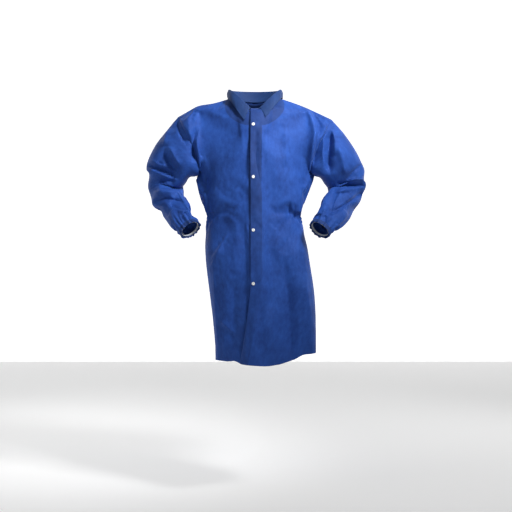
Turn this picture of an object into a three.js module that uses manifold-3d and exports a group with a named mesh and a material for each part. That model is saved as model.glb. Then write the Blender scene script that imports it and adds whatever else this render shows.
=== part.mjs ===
// Lab coat of spunbond cloth, in the shape it has when worn with both hands on the hips.
// Millimetres, +Z up, front towards -Y, wearer's left towards +X.
import * as THREE from "three";
import Module from "manifold-3d";

const wasm = await Module();
wasm.setup();

// ---- driving sizes ----
const CLOTH = 1.2; // modelled thickness of one cloth layer
const COLLAR_CLOTH = 1.8; // the collar is two layers
const GAP = 0.35; // clearance between touching pieces
const SEAM = 0.35; // half the clearance along a seam
const LAP_ROOM = 4.4; // room between the lapped fronts for socket and stud
const LAP_LIFT = 2 * CLOTH + GAP + LAP_ROOM; // how far the upper front stands out
const COAT_LENGTH = 1023; // hem to the neck end of the shoulder seam
const CHEST_Z = 745; // underarm point
const CHEST_HALF = 222; // half width at the underarm point
const CHEST_FRONT = 134; // how far the chest stands out in front
const CHEST_BACK = 118;
const SHOULDER_HALF = 295; // half width at the top of the armhole
const SHOULDER_Z = 946; // top of the armhole
const NECK_HALF = 75; // half width of the neck opening
const NECK_FRONT_Y = -92;
const NECK_FRONT_Z = 971;
const NECK_BACK_Y = 70;
const NECK_BACK_Z = 1010;
const NECK_SIDE_Y = 8;
const ARMHOLE_FRONT = 80; // armhole depth in front of the side seam
const ARMHOLE_BACK = 76;
const SIDE_POWER = 2.3; // squareness of the body section
const UPPER_EDGE_X = -17; // edge of the upper front
const UNDER_EDGE_X = 20; // edge of the under front
const EDGE_SWING = 40; // how far the loose lower edge swings aside at the hem
const SWING_Z = 300; // height of the last snap
const FACING_WIDTH = 44;
const NECK_FACING = 78; // depth of the neck facing
const COLLAR_END_X = 14; // upper front; the under front's end clears the upper front's edge
const UNDER_COLLAR_END_X = 22;
const CUFF_ELASTIC = 8; // elastic width
const SNAP_Z = [900, 704, 507, 311];
const SNAP_X = -1;

// body section at five heights: [z, half width, centre x, front depth, back depth]
const SECTIONS = [
  [0, 212, 33, 150, 150],
  [250, 211, 28, 145, 140],
  [430, 201, 10, 138, 130],
  [560, 188, 0, 126, 112],
  [CHEST_Z, CHEST_HALF, 0, CHEST_FRONT, CHEST_BACK],
];

// sleeve stations on the wearer's left: [x, y, z, half size outward, half size across]
const ARM = [
  [292, 4, 817, 97, 80],
  [322, 14, 781, 84, 78],
  [348, 30, 748, 75, 75],
  [366, 44, 719, 69, 72],
  [369, 44, 690, 64, 70],
  [358, 25, 662, 62, 67],
  [338, -4, 634, 60, 63],
  [311, -34, 598, 58, 58],
  [285, -64, 560, 54, 54],
  [264, -84, 534, 47, 48],
  [250, -97, 517, 41, 42],
];

const smooth = (t) => {
  const c = Math.min(1, Math.max(0, t));
  return c * c * (3 - 2 * c);
};

function section(z) {
  const rows = SECTIONS;
  const clamped = Math.min(CHEST_Z, Math.max(0, z));
  let i = 0;
  while (i < rows.length - 2 && clamped > rows[i + 1][0]) i++;
  const h = rows[i + 1][0] - rows[i][0];
  const t = (clamped - rows[i][0]) / h;
  const slope = (k, c) => {
    if (k <= 0 || k >= rows.length - 1) return 0;
    return (rows[k + 1][c] - rows[k - 1][c]) / (rows[k + 1][0] - rows[k - 1][0]);
  };
  return [1, 2, 3, 4].map((c) => {
    const a = rows[i][c];
    const b = rows[i + 1][c];
    const t2 = t * t;
    const t3 = t2 * t;
    return (
      (2 * t3 - 3 * t2 + 1) * a +
      (t3 - 2 * t2 + t) * h * slope(i, c) +
      (3 * t2 - 2 * t3) * b +
      (t3 - t2) * h * slope(i + 1, c)
    );
  });
}

// height and depth of the top boundary (neckline, then shoulder seam) at distance x from the centre
function topZ(x, back) {
  const a = Math.abs(x);
  const low = back ? NECK_BACK_Z : NECK_FRONT_Z;
  if (a <= NECK_HALF) {
    return low + (COAT_LENGTH - low) * (1 - Math.sqrt(1 - (a / NECK_HALF) ** 2));
  }
  const t = (a - NECK_HALF) / (SHOULDER_HALF - NECK_HALF);
  return COAT_LENGTH + (SHOULDER_Z - COAT_LENGTH) * t ** 1.15;
}

function topY(x, back) {
  const a = Math.abs(x);
  const deep = back ? NECK_BACK_Y : NECK_FRONT_Y;
  if (a <= NECK_HALF) {
    return NECK_SIDE_Y + (deep - NECK_SIDE_Y) * Math.sqrt(1 - (a / NECK_HALF) ** 2);
  }
  return (NECK_SIDE_Y * (SHOULDER_HALF - a)) / (SHOULDER_HALF - NECK_HALF);
}

// a point of the body: q runs -1..1 across the width, v runs 0..1 from hem to top boundary
const CHEST_V = 0.7;
function body(q, v, back) {
  const sign = back ? 1 : -1;
  const side = Math.min(1, Math.abs(q));
  const bulge = (1 - side ** SIDE_POWER) ** (1 / SIDE_POWER);
  if (v <= CHEST_V) {
    const z = (CHEST_Z * v) / CHEST_V;
    const [half, cx, front, rear] = section(z);
    return new THREE.Vector3(cx + half * q, sign * (back ? rear : front) * bulge, z);
  }
  const eta = Math.min(1, (v - CHEST_V) / (1 - CHEST_V));
  const up = (1 - Math.cos(Math.PI * eta)) / 2;
  const half = CHEST_HALF + (SHOULDER_HALF - CHEST_HALF) * up;
  const x = half * q;
  const z = CHEST_Z + (topZ(SHOULDER_HALF * q, back) - CHEST_Z) * up;
  const chestY = sign * (back ? CHEST_BACK : CHEST_FRONT) * bulge;
  const w = 1 - (1 - up ** 2.2) ** (1 / 2.2);
  const armhole = (back ? ARMHOLE_BACK : ARMHOLE_FRONT) * 2 * Math.sqrt(up * (1 - up));
  const y = chestY + (topY(SHOULDER_HALF * q, back) - chestY) * w + sign * armhole * side ** 6;
  return new THREE.Vector3(x, y, z);
}

// outward normal of the body surface
function bodyNormal(q, v, back) {
  const e = 0.004;
  const q0 = Math.max(-1, q - e);
  const q1 = Math.min(1, q + e);
  const v0 = Math.max(0, v - e);
  const v1 = Math.min(0.9995, v + e);
  const across = body(q1, v, back).sub(body(q0, v, back));
  const up = body(q, v1, back).sub(body(q, v0, back));
  const n = new THREE.Vector3().crossVectors(across, up).normalize();
  return back ? n.negate() : n;
}

// q of the body surface at a given x and v
function qAt(x, v) {
  if (v <= CHEST_V) {
    const [half, cx] = section((CHEST_Z * v) / CHEST_V);
    return (x - cx) / half;
  }
  const up = (1 - Math.cos((Math.PI * (v - CHEST_V)) / (1 - CHEST_V))) / 2;
  return x / (CHEST_HALF + (SHOULDER_HALF - CHEST_HALF) * up);
}

// point and normal of the front at a given x and z
function frontAt(x, z) {
  let lo = 0;
  let hi = 1;
  for (let i = 0; i < 40; i++) {
    const mid = (lo + hi) / 2;
    if (body(qAt(x, mid), mid, false).z < z) lo = mid;
    else hi = mid;
  }
  const q = qAt(x, lo);
  return [body(q, lo, false), bodyNormal(q, Math.min(lo, 0.98), false)];
}

// how far the upper front stands out over the under front
function lapLift(x) {
  return LAP_LIFT * (1 - smooth((x - 26) / 40));
}

function geometryOf(points, faces) {
  const g = new THREE.BufferGeometry();
  g.setAttribute("position", new THREE.Float32BufferAttribute(points.flatMap((p) => [p.x, p.y, p.z]), 3));
  g.setIndex(faces.flat());
  return g;
}

// a closed sheet from two grids of points, outer first
function sheet(outer, inner, flip = false, closed = false) {
  const rows = outer.length;
  const cols = outer[0].length;
  const points = [...outer.flat(), ...inner.flat()];
  const base = rows * cols;
  const at = (i, j) => i * cols + (j % cols);
  const faces = [];
  const quad = (a, b, c, d) => {
    if (flip) faces.push([a, c, b], [a, d, c]);
    else faces.push([a, b, c], [a, c, d]);
  };
  const across = closed ? cols : cols - 1;
  for (let i = 0; i < rows - 1; i++) {
    for (let j = 0; j < across; j++) {
      quad(at(i, j), at(i, j + 1), at(i + 1, j + 1), at(i + 1, j));
      quad(base + at(i, j), base + at(i + 1, j), base + at(i + 1, j + 1), base + at(i, j + 1));
    }
  }
  for (let j = 0; j < across; j++) {
    quad(at(0, j), base + at(0, j), base + at(0, j + 1), at(0, j + 1));
    quad(at(rows - 1, j), at(rows - 1, j + 1), base + at(rows - 1, j + 1), base + at(rows - 1, j));
  }
  if (!closed) {
    for (let i = 0; i < rows - 1; i++) {
      quad(at(i, 0), at(i + 1, 0), base + at(i + 1, 0), base + at(i, 0));
      quad(at(i, cols - 1), base + at(i, cols - 1), base + at(i + 1, cols - 1), at(i + 1, cols - 1));
    }
  }
  return geometryOf(points, faces);
}

function solid(geometry) {
  const position = geometry.attributes.position;
  const index = geometry.index ? geometry.index.array : [...Array(position.count).keys()];
  const mesh = new wasm.Mesh({
    numProp: 3,
    vertProperties: new Float32Array(position.array),
    triVerts: new Uint32Array(index),
  });
  mesh.merge();
  const made = new wasm.Manifold(mesh);
  if (made.status() !== "NoError" || made.volume() <= 0) {
    throw new Error(`bad solid ${made.status()} ${made.volume()}`);
  }
  return made;
}

function meshOf(name, made, material) {
  const m = made.getMesh();
  const g = new THREE.BufferGeometry();
  const p = new Float32Array(m.numVert * 3);
  for (let i = 0; i < m.numVert; i++) {
    for (let c = 0; c < 3; c++) p[3 * i + c] = m.vertProperties[m.numProp * i + c];
  }
  g.setAttribute("position", new THREE.Float32BufferAttribute(p, 3));
  g.setIndex([...m.triVerts]);
  g.computeVertexNormals();
  const mesh = new THREE.Mesh(g, new THREE.MeshStandardMaterial({ color: material, roughness: 0.8 }));
  mesh.name = name;
  return mesh;
}

// the one body that is left when a trim cuts off slivers
function largest(made) {
  return made.decompose().sort((a, b) => b.volume() - a.volume())[0];
}

const BLUE = 0x1f4fa8;
const DARK = 0x173e88;
const WHITE = 0xf2f4f5;
const coat = new THREE.Group();
const add = (name, made, material) => coat.add(meshOf(name, made, material));

// ---- the hinge lines of the two fronts, and the planes they part at ----
const HINGE_TOP = { x: 66, y: -128, z: 985 };
const HINGE_LOW = { left: 175, right: -116, y: -174 };
function hinge(side) {
  const top = new THREE.Vector3(side * HINGE_TOP.x, HINGE_TOP.y, HINGE_TOP.z);
  const low = new THREE.Vector3(side > 0 ? HINGE_LOW.left : HINGE_LOW.right, HINGE_LOW.y, 0);
  const across = new THREE.Vector3(top.z - low.z, 0, low.x - top.x).normalize();
  return { top, low, normal: across, offset: across.dot(top) };
}
function part(made, side, moving) {
  const { normal, offset } = hinge(side);
  const outward = side > 0 ? !moving : moving;
  const n = outward ? normal : normal.clone().negate();
  const shift = (outward ? offset : -offset) + SEAM;
  return made.trimByPlane([n.x, n.y, n.z], shift);
}

// ---- body panels ----
const V_ROWS = [0, 0.12, 0.25, 0.38, 0.5, 0.6, 0.7, 0.73, 0.77, 0.82, 0.87, 0.92, 0.96, 1];
const ACROSS = [0, 0.1, 0.19, 0.26, 0.4, 0.55, 0.7, 0.82, 0.91, 0.97, 1];

// pulls a boundary point of the grid back from its seam
function inset(grid, i, j, di, dj) {
  const toward = grid[i + di][j + dj].clone().sub(grid[i][j]).normalize();
  return grid[i][j].clone().addScaledVector(toward, SEAM);
}

function insetGrid(grid, top, left, right) {
  const rows = grid.length - 1;
  const cols = grid[0].length - 1;
  const out = grid.map((row) => row.map((p) => p.clone()));
  if (top) for (let j = 0; j <= cols; j++) out[rows][j] = inset(grid, rows, j, -1, 0);
  if (left) {
    for (let i = 0; i <= rows; i++) out[i][0].add(inset(grid, i, 0, 0, 1).sub(grid[i][0]));
  }
  if (right) {
    for (let i = 0; i <= rows; i++) {
      out[i][cols].add(inset(grid, i, cols, 0, -1).sub(grid[i][cols]));
    }
  }
  return out;
}

function backPanel() {
  const qs = [...ACROSS.slice(1).reverse().map((q) => -q), ...ACROSS];
  const grid = V_ROWS.map((v) => qs.map((q) => body(q, v, true)));
  const normals = V_ROWS.map((v) => qs.map((q) => bodyNormal(q, v, true)));
  const outer = insetGrid(grid, true, true, true);
  const layer = (d) => offsetGrid(outer, normals, d);
  const panel = solid(sheet(outer, layer(-CLOTH), true));
  const second = solid(sheet(layer(-CLOTH - GAP), layer(-2 * CLOTH - GAP), true));
  const outside = offsetGrid(grid, normals, GAP);
  const inside = offsetGrid(grid, normals, -2 * CLOTH - 2 * GAP);
  const keepOut = solid(sheet(outside, inside, true));
  return { panel, facing: second.intersect(backFacingShape()), keepOut };
}

// x of the loose edge of a front at height z
function edgeX(z, side) {
  const swing = z < SWING_Z ? EDGE_SWING * (1 - z / SWING_Z) ** 1.3 : 0;
  return side > 0 ? UPPER_EDGE_X - swing : UNDER_EDGE_X - 0.4 * swing;
}

// share of the way up the centre line at height z
function vAt(z) {
  if (z <= CHEST_Z) return (CHEST_V * z) / CHEST_Z;
  const up = (z - CHEST_Z) / (NECK_FRONT_Z - CHEST_Z);
  return CHEST_V + ((1 - CHEST_V) * Math.acos(1 - 2 * up)) / Math.PI;
}

// rows of a front: those of the back, and a flat patch at each snap
const PATCH = 9;
const patchRows = SNAP_Z.flatMap((z) => [vAt(z - PATCH), vAt(z + PATCH)]);
const FRONT_ROWS = [
  ...V_ROWS.filter((v) => patchRows.every((p) => Math.abs(p - v) > 0.012)),
  ...patchRows,
].sort((a, b) => a - b);

// columns of a front: the facing strip in fixed widths, then shares of the way to the side seam
const STRIP_COLS = [0, 0.34, 0.67];
const NECK_SHARE =
  (NECK_HALF - UPPER_EDGE_X - FACING_WIDTH) / (SHOULDER_HALF - UPPER_EDGE_X - FACING_WIDTH);
const SIDE_COLS = [0, 0.09, NECK_SHARE, 0.3, 0.45, 0.6, 0.75, 0.87, 0.95, 1];

function frontGrid(side, lift) {
  const points = [];
  const normals = [];
  for (const v of FRONT_ROWS) {
    const z = body(0, v, false).z;
    const edge = edgeX(z, side);
    const row = [];
    const nrow = [];
    const qs = STRIP_COLS.map((c) => qAt(edge + side * FACING_WIDTH * c, v));
    const start = qAt(edge + side * FACING_WIDTH, v);
    SIDE_COLS.forEach((c) => qs.push(start + (side - start) * c));
    for (const q of qs) {
      const p = body(q, v, false);
      const n = bodyNormal(q, v, false);
      row.push(p.addScaledVector(n, lift ? lapLift(side * p.x) : 0));
      nrow.push(n);
    }
    points.push(row);
    normals.push(nrow);
  }
  return [points, normals];
}

function offsetGrid(points, normals, d) {
  return points.map((row, i) => row.map((p, j) => p.clone().addScaledVector(normals[i][j], d)));
}

// ---- facings: a strip along each front edge that widens round the neck, and a back neck piece ----
// a flat outline in X and Z, run through the body from y0 to y1
function cutter(outline, y0, y1) {
  const shape = new THREE.Shape(outline.map(([x, z]) => new THREE.Vector2(x, z)));
  const g = new THREE.ExtrudeGeometry(shape, { depth: y1 - y0, bevelEnabled: false });
  g.rotateX(Math.PI / 2);
  g.translate(0, y1, 0);
  return solid(g);
}

function crescent(low, depth, from) {
  const points = [];
  for (let i = 0; i <= 12; i++) {
    const a = from + ((Math.PI / 2 - from) * i) / 12;
    const r = NECK_HALF + depth * (1 - 0.12 * Math.sin(a));
    points.push([r * Math.sin(a), COAT_LENGTH - (COAT_LENGTH - low + depth) * Math.cos(a)]);
  }
  return points;
}

function frontFacingShape(s) {
  const edge = edgeX(CHEST_Z, s);
  const inner = s * edge + FACING_WIDTH;
  const curve = crescent(NECK_FRONT_Z, NECK_FACING, 0.22).filter(([x]) => x > inner + 4);
  const strip = [0, 60, 120, 180, 240, SWING_Z].map((z) => [s * edgeX(z, s) + FACING_WIDTH, z]);
  const outline = [[-120, -20], [strip[0][0] - 2, -20], ...strip, [inner, 880]];
  const last = curve[curve.length - 1];
  const whole = [...outline, ...curve, [last[0], COAT_LENGTH + 20], [-120, COAT_LENGTH + 20]];
  const turned = whole.map(([x, z]) => [s * x, z]);
  if (s < 0) turned.reverse();
  return cutter(turned, -260, 60);
}

function backFacingShape() {
  const curve = crescent(NECK_BACK_Z, NECK_FACING, 0);
  const last = curve[curve.length - 1];
  const right = [...curve, [last[0], COAT_LENGTH + 20]];
  const left = [...right].reverse().map(([x, z]) => [-x, z]);
  return cutter([...left, ...right.slice(1)], -60, 260);
}

const side = { left: 1, right: -1 };
const fronts = {};
const facings = {};
const back = backPanel();
const keepOuts = [back.keepOut];
for (const [word, s] of Object.entries(side)) {
  const [points, normals] = frontGrid(s, s > 0);
  const base = insetGrid(points, true, false, true);
  const outer = offsetGrid(base, normals, 0);
  const inner = offsetGrid(base, normals, -CLOTH);
  fronts[word] = solid(sheet(outer, inner, s < 0));
  const clearOut = offsetGrid(points, normals, GAP);
  const clearIn = offsetGrid(points, normals, -2 * CLOTH - 2 * GAP);
  keepOuts.push(solid(sheet(clearOut, clearIn, s < 0)));
  const second = offsetGrid(base, normals, -CLOTH - GAP);
  const secondIn = offsetGrid(base, normals, -2 * CLOTH - GAP);
  facings[word] = solid(sheet(second, secondIn, s < 0)).intersect(frontFacingShape(s));
}

// ---- collar: one piece of double cloth, up from the neckline, over, and down outside ----
const lerp = (a, b, t) => a.clone().lerp(b, t);
function collarProfile(a) {
  // a is the angle round the neck: 0 at the centre front, PI at the centre back
  const s = Math.sin(a);
  const c = Math.cos(a);
  const back = c < 0;
  const x = NECK_HALF * s;
  const seam = new THREE.Vector3(x, topY(Math.abs(x), back), topZ(Math.abs(x), back) + 0.9);
  const t = (1 - c) / 2;
  const roll = new THREE.Vector3(
    (NECK_HALF + 17) * s * (0.55 + 0.45 * smooth(t * 3)),
    back ? NECK_SIDE_Y + 74 * -c : NECK_SIDE_Y - 107 * c,
    NECK_FRONT_Z + 13 + 75 * Math.sin((Math.min(1, t * 1.15) * Math.PI) / 2),
  );
  const reach = 1 - smooth(t / 0.42);
  const edge = new THREE.Vector3(
    (NECK_HALF + 30) * s + 26 * reach * (1 - reach * 0.2),
    back ? NECK_SIDE_Y + 92 * -c : NECK_SIDE_Y - 122 * c,
    NECK_FRONT_Z - 34 + 84 * smooth(t / 0.62),
  );
  return { seam, roll, edge };
}

function collarHalf(s) {
  const start = Math.asin((s > 0 ? COLLAR_END_X : UNDER_COLLAR_END_X) / NECK_HALF);
  const steps = 14;
  const mid = [];
  for (let i = 0; i <= steps; i++) {
    const a = start + (Math.PI - start) * (i / steps) ** 1.1;
    const { seam, roll, edge } = collarProfile(a);
    const z = Math.min(seam.z, NECK_FRONT_Z + 45);
    if (seam.y < 0) {
      const [, n] = frontAt(seam.x, z);
      seam.addScaledVector(n, (s > 0 ? lapLift(seam.x) : 0) - 0.9);
    }
    if (edge.y < 0) {
      const [p] = frontAt(edge.x, edge.z);
      const clear = p.y - 7 - (s > 0 ? lapLift(edge.x) : 0);
      edge.y = Math.min(edge.y, clear);
    }
    const out = new THREE.Vector3(edge.x - seam.x, edge.y - seam.y, 0).normalize();
    const rollOut = roll.clone().addScaledVector(out, 3);
    const rollIn = roll.clone().addScaledVector(out, -2);
    const rollTop = roll.clone();
    rollTop.z += 2.4;
    const row = [
      seam,
      lerp(seam, rollIn, 0.5),
      rollIn,
      rollTop,
      rollOut,
      lerp(rollOut, edge, 0.5).addScaledVector(out, 2),
      edge,
    ];
    mid.push(row.map((p) => new THREE.Vector3(s * p.x, p.y, p.z)));
  }
  return mid;
}

function sheetFromMiddle(mid, thickness, flip) {
  const rows = mid.length;
  const cols = mid[0].length;
  const outer = [];
  const inner = [];
  for (let i = 0; i < rows; i++) {
    const o = [];
    const n = [];
    for (let j = 0; j < cols; j++) {
      const along = mid[Math.min(rows - 1, i + 1)][j].clone().sub(mid[Math.max(0, i - 1)][j]);
      const across = mid[i][Math.min(cols - 1, j + 1)].clone().sub(mid[i][Math.max(0, j - 1)]);
      const normal = new THREE.Vector3().crossVectors(across, along).normalize();
      o.push(mid[i][j].clone().addScaledVector(normal, thickness / 2));
      n.push(mid[i][j].clone().addScaledVector(normal, -thickness / 2));
    }
    outer.push(o);
    inner.push(n);
  }
  return sheet(outer, inner, flip);
}

const collarLeft = collarHalf(1);
const collarRight = collarHalf(-1);
const collarMiddle = [...collarLeft, ...collarRight.slice(0, -1).reverse()];
const collarCloth = sheetFromMiddle(collarMiddle, COLLAR_CLOTH, false);
const wholeCollar = keepOuts.reduce((m, k) => m.subtract(k), solid(collarCloth));

// ---- snaps ----
const CAP_R = 6;
const CAP_T = 1.5;
const PIN_R = 1.1;
const HOLE_R = PIN_R + GAP;
const SOCKET_R = 4.8;
const SOCKET_HOLE_R = 2.7;
const KNOB_R = 1.9;
const snapParts = { cap: [], socket: [], stud: [], post: [] };
const holes = [];

function placed(geometry, at, axis, along) {
  const g = geometry.clone();
  g.applyQuaternion(new THREE.Quaternion().setFromUnitVectors(new THREE.Vector3(0, 1, 0), axis));
  const centre = at.clone().addScaledVector(axis, along);
  g.translate(centre.x, centre.y, centre.z);
  return solid(g);
}

function disc(radius, thick, at, axis, from) {
  return placed(new THREE.CylinderGeometry(radius, radius, thick, 10), at, axis, from + thick / 2);
}

function domedCap(at, axis, from) {
  const rim = [
    new THREE.Vector2(0, 0),
    new THREE.Vector2(CAP_R, 0),
    new THREE.Vector2(CAP_R, CAP_T * 0.4),
    new THREE.Vector2(CAP_R * 0.8, CAP_T * 0.85),
    new THREE.Vector2(0, CAP_T),
  ];
  return placed(new THREE.LatheGeometry(rim, 10), at, axis, from);
}

for (const z of SNAP_Z) {
  const [p, n] = frontAt(SNAP_X, z);
  const face = LAP_LIFT; // outer face of the upper front
  const inside = face - 2 * CLOTH - GAP; // inner face of its facing
  const cap = domedCap(p, n, face + GAP);
  const pinEnd = inside - GAP * 2;
  const pin = disc(PIN_R, face + GAP + 0.3 - pinEnd, p, n, pinEnd);
  snapParts.cap.push(cap.add(pin));
  const socketTop = inside - GAP;
  const socketLow = socketTop - 2.6;
  const ring = disc(SOCKET_R, socketTop - socketLow, p, n, socketLow);
  const well = disc(SOCKET_HOLE_R, 1.7, p, n, socketLow - 0.2);
  const pinWell = disc(HOLE_R, 1.0, p, n, pinEnd - GAP);
  snapParts.socket.push(ring.subtract(well).subtract(pinWell));
  const studBase = disc(SOCKET_R, 0.9, p, n, GAP);
  const knob = disc(KNOB_R, socketLow + 0.9 - GAP - 0.5, p, n, GAP + 0.5);
  const studWell = disc(HOLE_R, 1.0, p, n, -0.2);
  const backOuter = -2 * CLOTH - GAP;
  snapParts.stud.push(studBase.add(knob).subtract(studWell));
  const plate = disc(CAP_R - 0.4, 1.2, p, n, backOuter - GAP - 1.2);
  const rivet = disc(PIN_R, 0.45 - (backOuter - GAP - 0.3), p, n, backOuter - GAP - 0.3);
  snapParts.post.push(plate.add(rivet));
  holes.push(disc(HOLE_R, 26, p, n, -12));
}
const drilled = (made) => holes.reduce((m, h) => m.subtract(h), made);

add("back_panel", back.panel, BLUE);
for (const [word, s] of Object.entries(side)) {
  add(`${word}_front_side`, part(fronts[word], s, false), BLUE);
  add(`${word}_front_flap`, drilled(part(fronts[word], s, true)), BLUE);
  add(`${word}_front_facing`, drilled(part(facings[word], s, true)), DARK);
  add(`${word}_neck_facing`, part(facings[word], s, false), DARK);
}
add("back_neck_facing", back.facing, DARK);
const COLLAR_SPLIT_Y = -10; // the collar parts only in front of this
const collarFore = wholeCollar.trimByPlane([0, -1, 0], -COLLAR_SPLIT_Y);
let collarBack = wholeCollar.trimByPlane([0, 1, 0], COLLAR_SPLIT_Y);
for (const [word, s] of Object.entries(side)) {
  const half = collarFore.trimByPlane([s, 0, 0], 0);
  collarBack = collarBack.add(part(half, s, false));
  add(`${word}_collar_front`, largest(part(half, s, true)), BLUE);
}
add("collar_back", largest(collarBack), BLUE);
SNAP_Z.forEach((z, i) => {
  for (const kind of ["cap", "socket", "stud", "post"]) {
    add(`snap_${kind}_${i + 1}`, snapParts[kind][i], WHITE);
  }
});

// ---- sleeves ----
const RING = 16;
function armholeRing(s, grow) {
  const tilt = new THREE.Vector3(SHOULDER_HALF - CHEST_HALF, 0, SHOULDER_Z - CHEST_Z);
  const half = tilt.length() / 2;
  const centre = new THREE.Vector3((SHOULDER_HALF + CHEST_HALF) / 2, 0, (SHOULDER_Z + CHEST_Z) / 2);
  const outward = tilt.clone().normalize();
  return { centre, outward, a: half + grow, front: ARMHOLE_FRONT + grow, back: ARMHOLE_BACK + grow, s };
}

function sleeveStations() {
  const first = armholeRing(1, 0);
  const stations = [];
  const normal0 = new THREE.Vector3(SHOULDER_Z - CHEST_Z, 0, -(SHOULDER_HALF - CHEST_HALF)).normalize();
  const start = first.centre.clone().addScaledVector(normal0, 2 * SEAM);
  const forward = new THREE.Vector3(0, -1, 0);
  stations.push({ c: start, u: first.outward, w: forward, a: first.a, b: ARMHOLE_FRONT });
  const path = ARM.map(([x, y, z]) => new THREE.Vector3(x, y, z));
  path.forEach((c, i) => {
    const before = i ? path[i - 1] : first.centre;
    const after = path[Math.min(path.length - 1, i + 1)];
    const t = after.clone().sub(before).normalize();
    if (i === 0) t.add(normal0).normalize();
    const outer = new THREE.Vector3(0.55, 0.45, 0.7 * (1 - smooth(i / 5)));
    const u = outer.addScaledVector(t, -outer.dot(t)).normalize();
    const w = new THREE.Vector3().crossVectors(t, u).normalize();
    stations.push({ c, u, w, a: ARM[i][3], b: ARM[i][4] });
  });
  return stations;
}

function ringPoint(st, k, s, shrink) {
  const a = (2 * Math.PI * k) / RING;
  const p = st.c.clone();
  p.addScaledVector(st.u, (st.a - shrink) * Math.cos(a));
  p.addScaledVector(st.w, (st.b - shrink) * Math.sin(a));
  return new THREE.Vector3(s * p.x, p.y, p.z);
}

function blendStation(a, b, t) {
  return {
    c: lerp(a.c, b.c, t),
    u: lerp(a.u, b.u, t).normalize(),
    w: lerp(a.w, b.w, t).normalize(),
    a: a.a + (b.a - a.a) * t,
    b: a.b + (b.b - a.b) * t,
  };
}

function nudge(list, index, toward) {
  const d = list[toward].c.clone().sub(list[index].c);
  return blendStation(list[index], list[toward], SEAM / d.length());
}

function tube(stations, s, startGap, endGap, shrinkOuter = 0, thick = CLOTH) {
  const list = [...stations];
  const last = list.length - 1;
  const first = startGap ? nudge(list, 0, 1) : list[0];
  const end = endGap ? nudge(list, last, last - 1) : list[last];
  list[0] = first;
  list[last] = end;
  const rings = (shrink) =>
    list.map((st) => Array.from({ length: RING }, (_, k) => ringPoint(st, k, s, shrink)));
  return solid(sheet(rings(shrinkOuter), rings(shrinkOuter + thick), s < 0, true));
}

const stations = sleeveStations();
for (const [word, s] of Object.entries(side)) {
  const cuffTop = blendStation(stations[10], stations[11], 0.25);
  add(`${word}_sleeve_head`, tube(stations.slice(0, 3), s, false, true), BLUE);
  add(`${word}_sleeve_upper`, tube(stations.slice(2, 4), s, true, true), BLUE);
  add(`${word}_sleeve_elbow`, tube(stations.slice(3, 8), s, true, true), BLUE);
  add(`${word}_sleeve_lower`, tube([...stations.slice(7, 11), cuffTop], s, true, true), BLUE);
  add(`${word}_cuff_casing`, tube([cuffTop, stations[11]], s, true, false), BLUE);
  const e0 = blendStation(cuffTop, stations[11], 0.25);
  const e1 = blendStation(cuffTop, stations[11], 0.25 + CUFF_ELASTIC / 17);
  add(`${word}_cuff_elastic`, tube([e0, e1], s, false, false, CLOTH + GAP, 0.8), WHITE);
}

// the frame: centre of the footprint, at the hem
const box = new THREE.Box3();
coat.children.forEach((m) => {
  m.geometry.computeBoundingBox();
  box.union(m.geometry.boundingBox);
});
coat.children.forEach((m) => m.geometry.translate(0, -(box.min.y + box.max.y) / 2, -box.min.z));

export default coat;
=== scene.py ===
import math

import bmesh
import bpy
import numpy as np
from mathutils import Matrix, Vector


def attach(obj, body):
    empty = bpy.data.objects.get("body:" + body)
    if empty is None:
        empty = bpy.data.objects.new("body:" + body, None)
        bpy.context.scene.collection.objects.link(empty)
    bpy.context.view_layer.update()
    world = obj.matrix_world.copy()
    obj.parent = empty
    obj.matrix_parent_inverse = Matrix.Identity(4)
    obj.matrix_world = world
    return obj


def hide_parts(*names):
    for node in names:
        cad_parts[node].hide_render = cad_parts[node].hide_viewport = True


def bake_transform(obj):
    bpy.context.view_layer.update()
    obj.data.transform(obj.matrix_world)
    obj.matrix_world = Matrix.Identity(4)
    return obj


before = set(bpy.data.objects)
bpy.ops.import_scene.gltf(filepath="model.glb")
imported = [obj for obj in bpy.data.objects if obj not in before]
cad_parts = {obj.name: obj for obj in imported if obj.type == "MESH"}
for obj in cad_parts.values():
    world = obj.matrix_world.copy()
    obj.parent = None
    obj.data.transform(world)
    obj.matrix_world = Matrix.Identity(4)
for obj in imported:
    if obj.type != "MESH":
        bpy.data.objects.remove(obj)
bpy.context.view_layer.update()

# ------------------------------------------------------------------------------------------------
# The drape. The coat is one welded cloth before it is cut into its pieces: two fronts that lap,
# a back, and two set-in sleeves. It starts in its worn shape and is let go, with its seams,
# snaps, wrists and the two places where the hands press it held, so that spare cloth folds.
# ------------------------------------------------------------------------------------------------
FRAME_Y = 0.00338  # the frame's centre lies this far in front of the side seams
COAT_LENGTH, CHEST_Z, CHEST_HALF = 1.023, 0.745, 0.222
SHOULDER_HALF, SHOULDER_Z = 0.295, 0.946
NECK_HALF, NECK_SIDE_Y = 0.075, 0.008
NECK_FRONT_Y, NECK_FRONT_Z = -0.092, 0.971
NECK_BACK_Y, NECK_BACK_Z = 0.070, 1.010
ARMHOLE_FRONT, ARMHOLE_BACK = 0.080, 0.076
CHEST_FRONT, CHEST_BACK = 0.134, 0.118
SIDE_POWER = 2.3
UPPER_EDGE, UNDER_EDGE = -0.017, 0.020
EDGE_SWING, SWING_Z = 0.052, 0.305
FACING = 0.044
SNAP_HEIGHTS = (0.900, 0.704, 0.507, 0.311)
# height, half width, centre, depth in front, depth behind
SECTIONS = np.array(
    [
        [0.000, 0.212, 0.033, 0.150, 0.150],
        [0.250, 0.211, 0.028, 0.145, 0.140],
        [0.430, 0.201, 0.010, 0.138, 0.130],
        [0.560, 0.188, 0.000, 0.126, 0.112],
        [0.745, 0.222, 0.000, 0.134, 0.118],
        [0.900, 0.262, 0.000, 0.130, 0.116],
    ]
)
CHEST_ROW = 4


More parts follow.
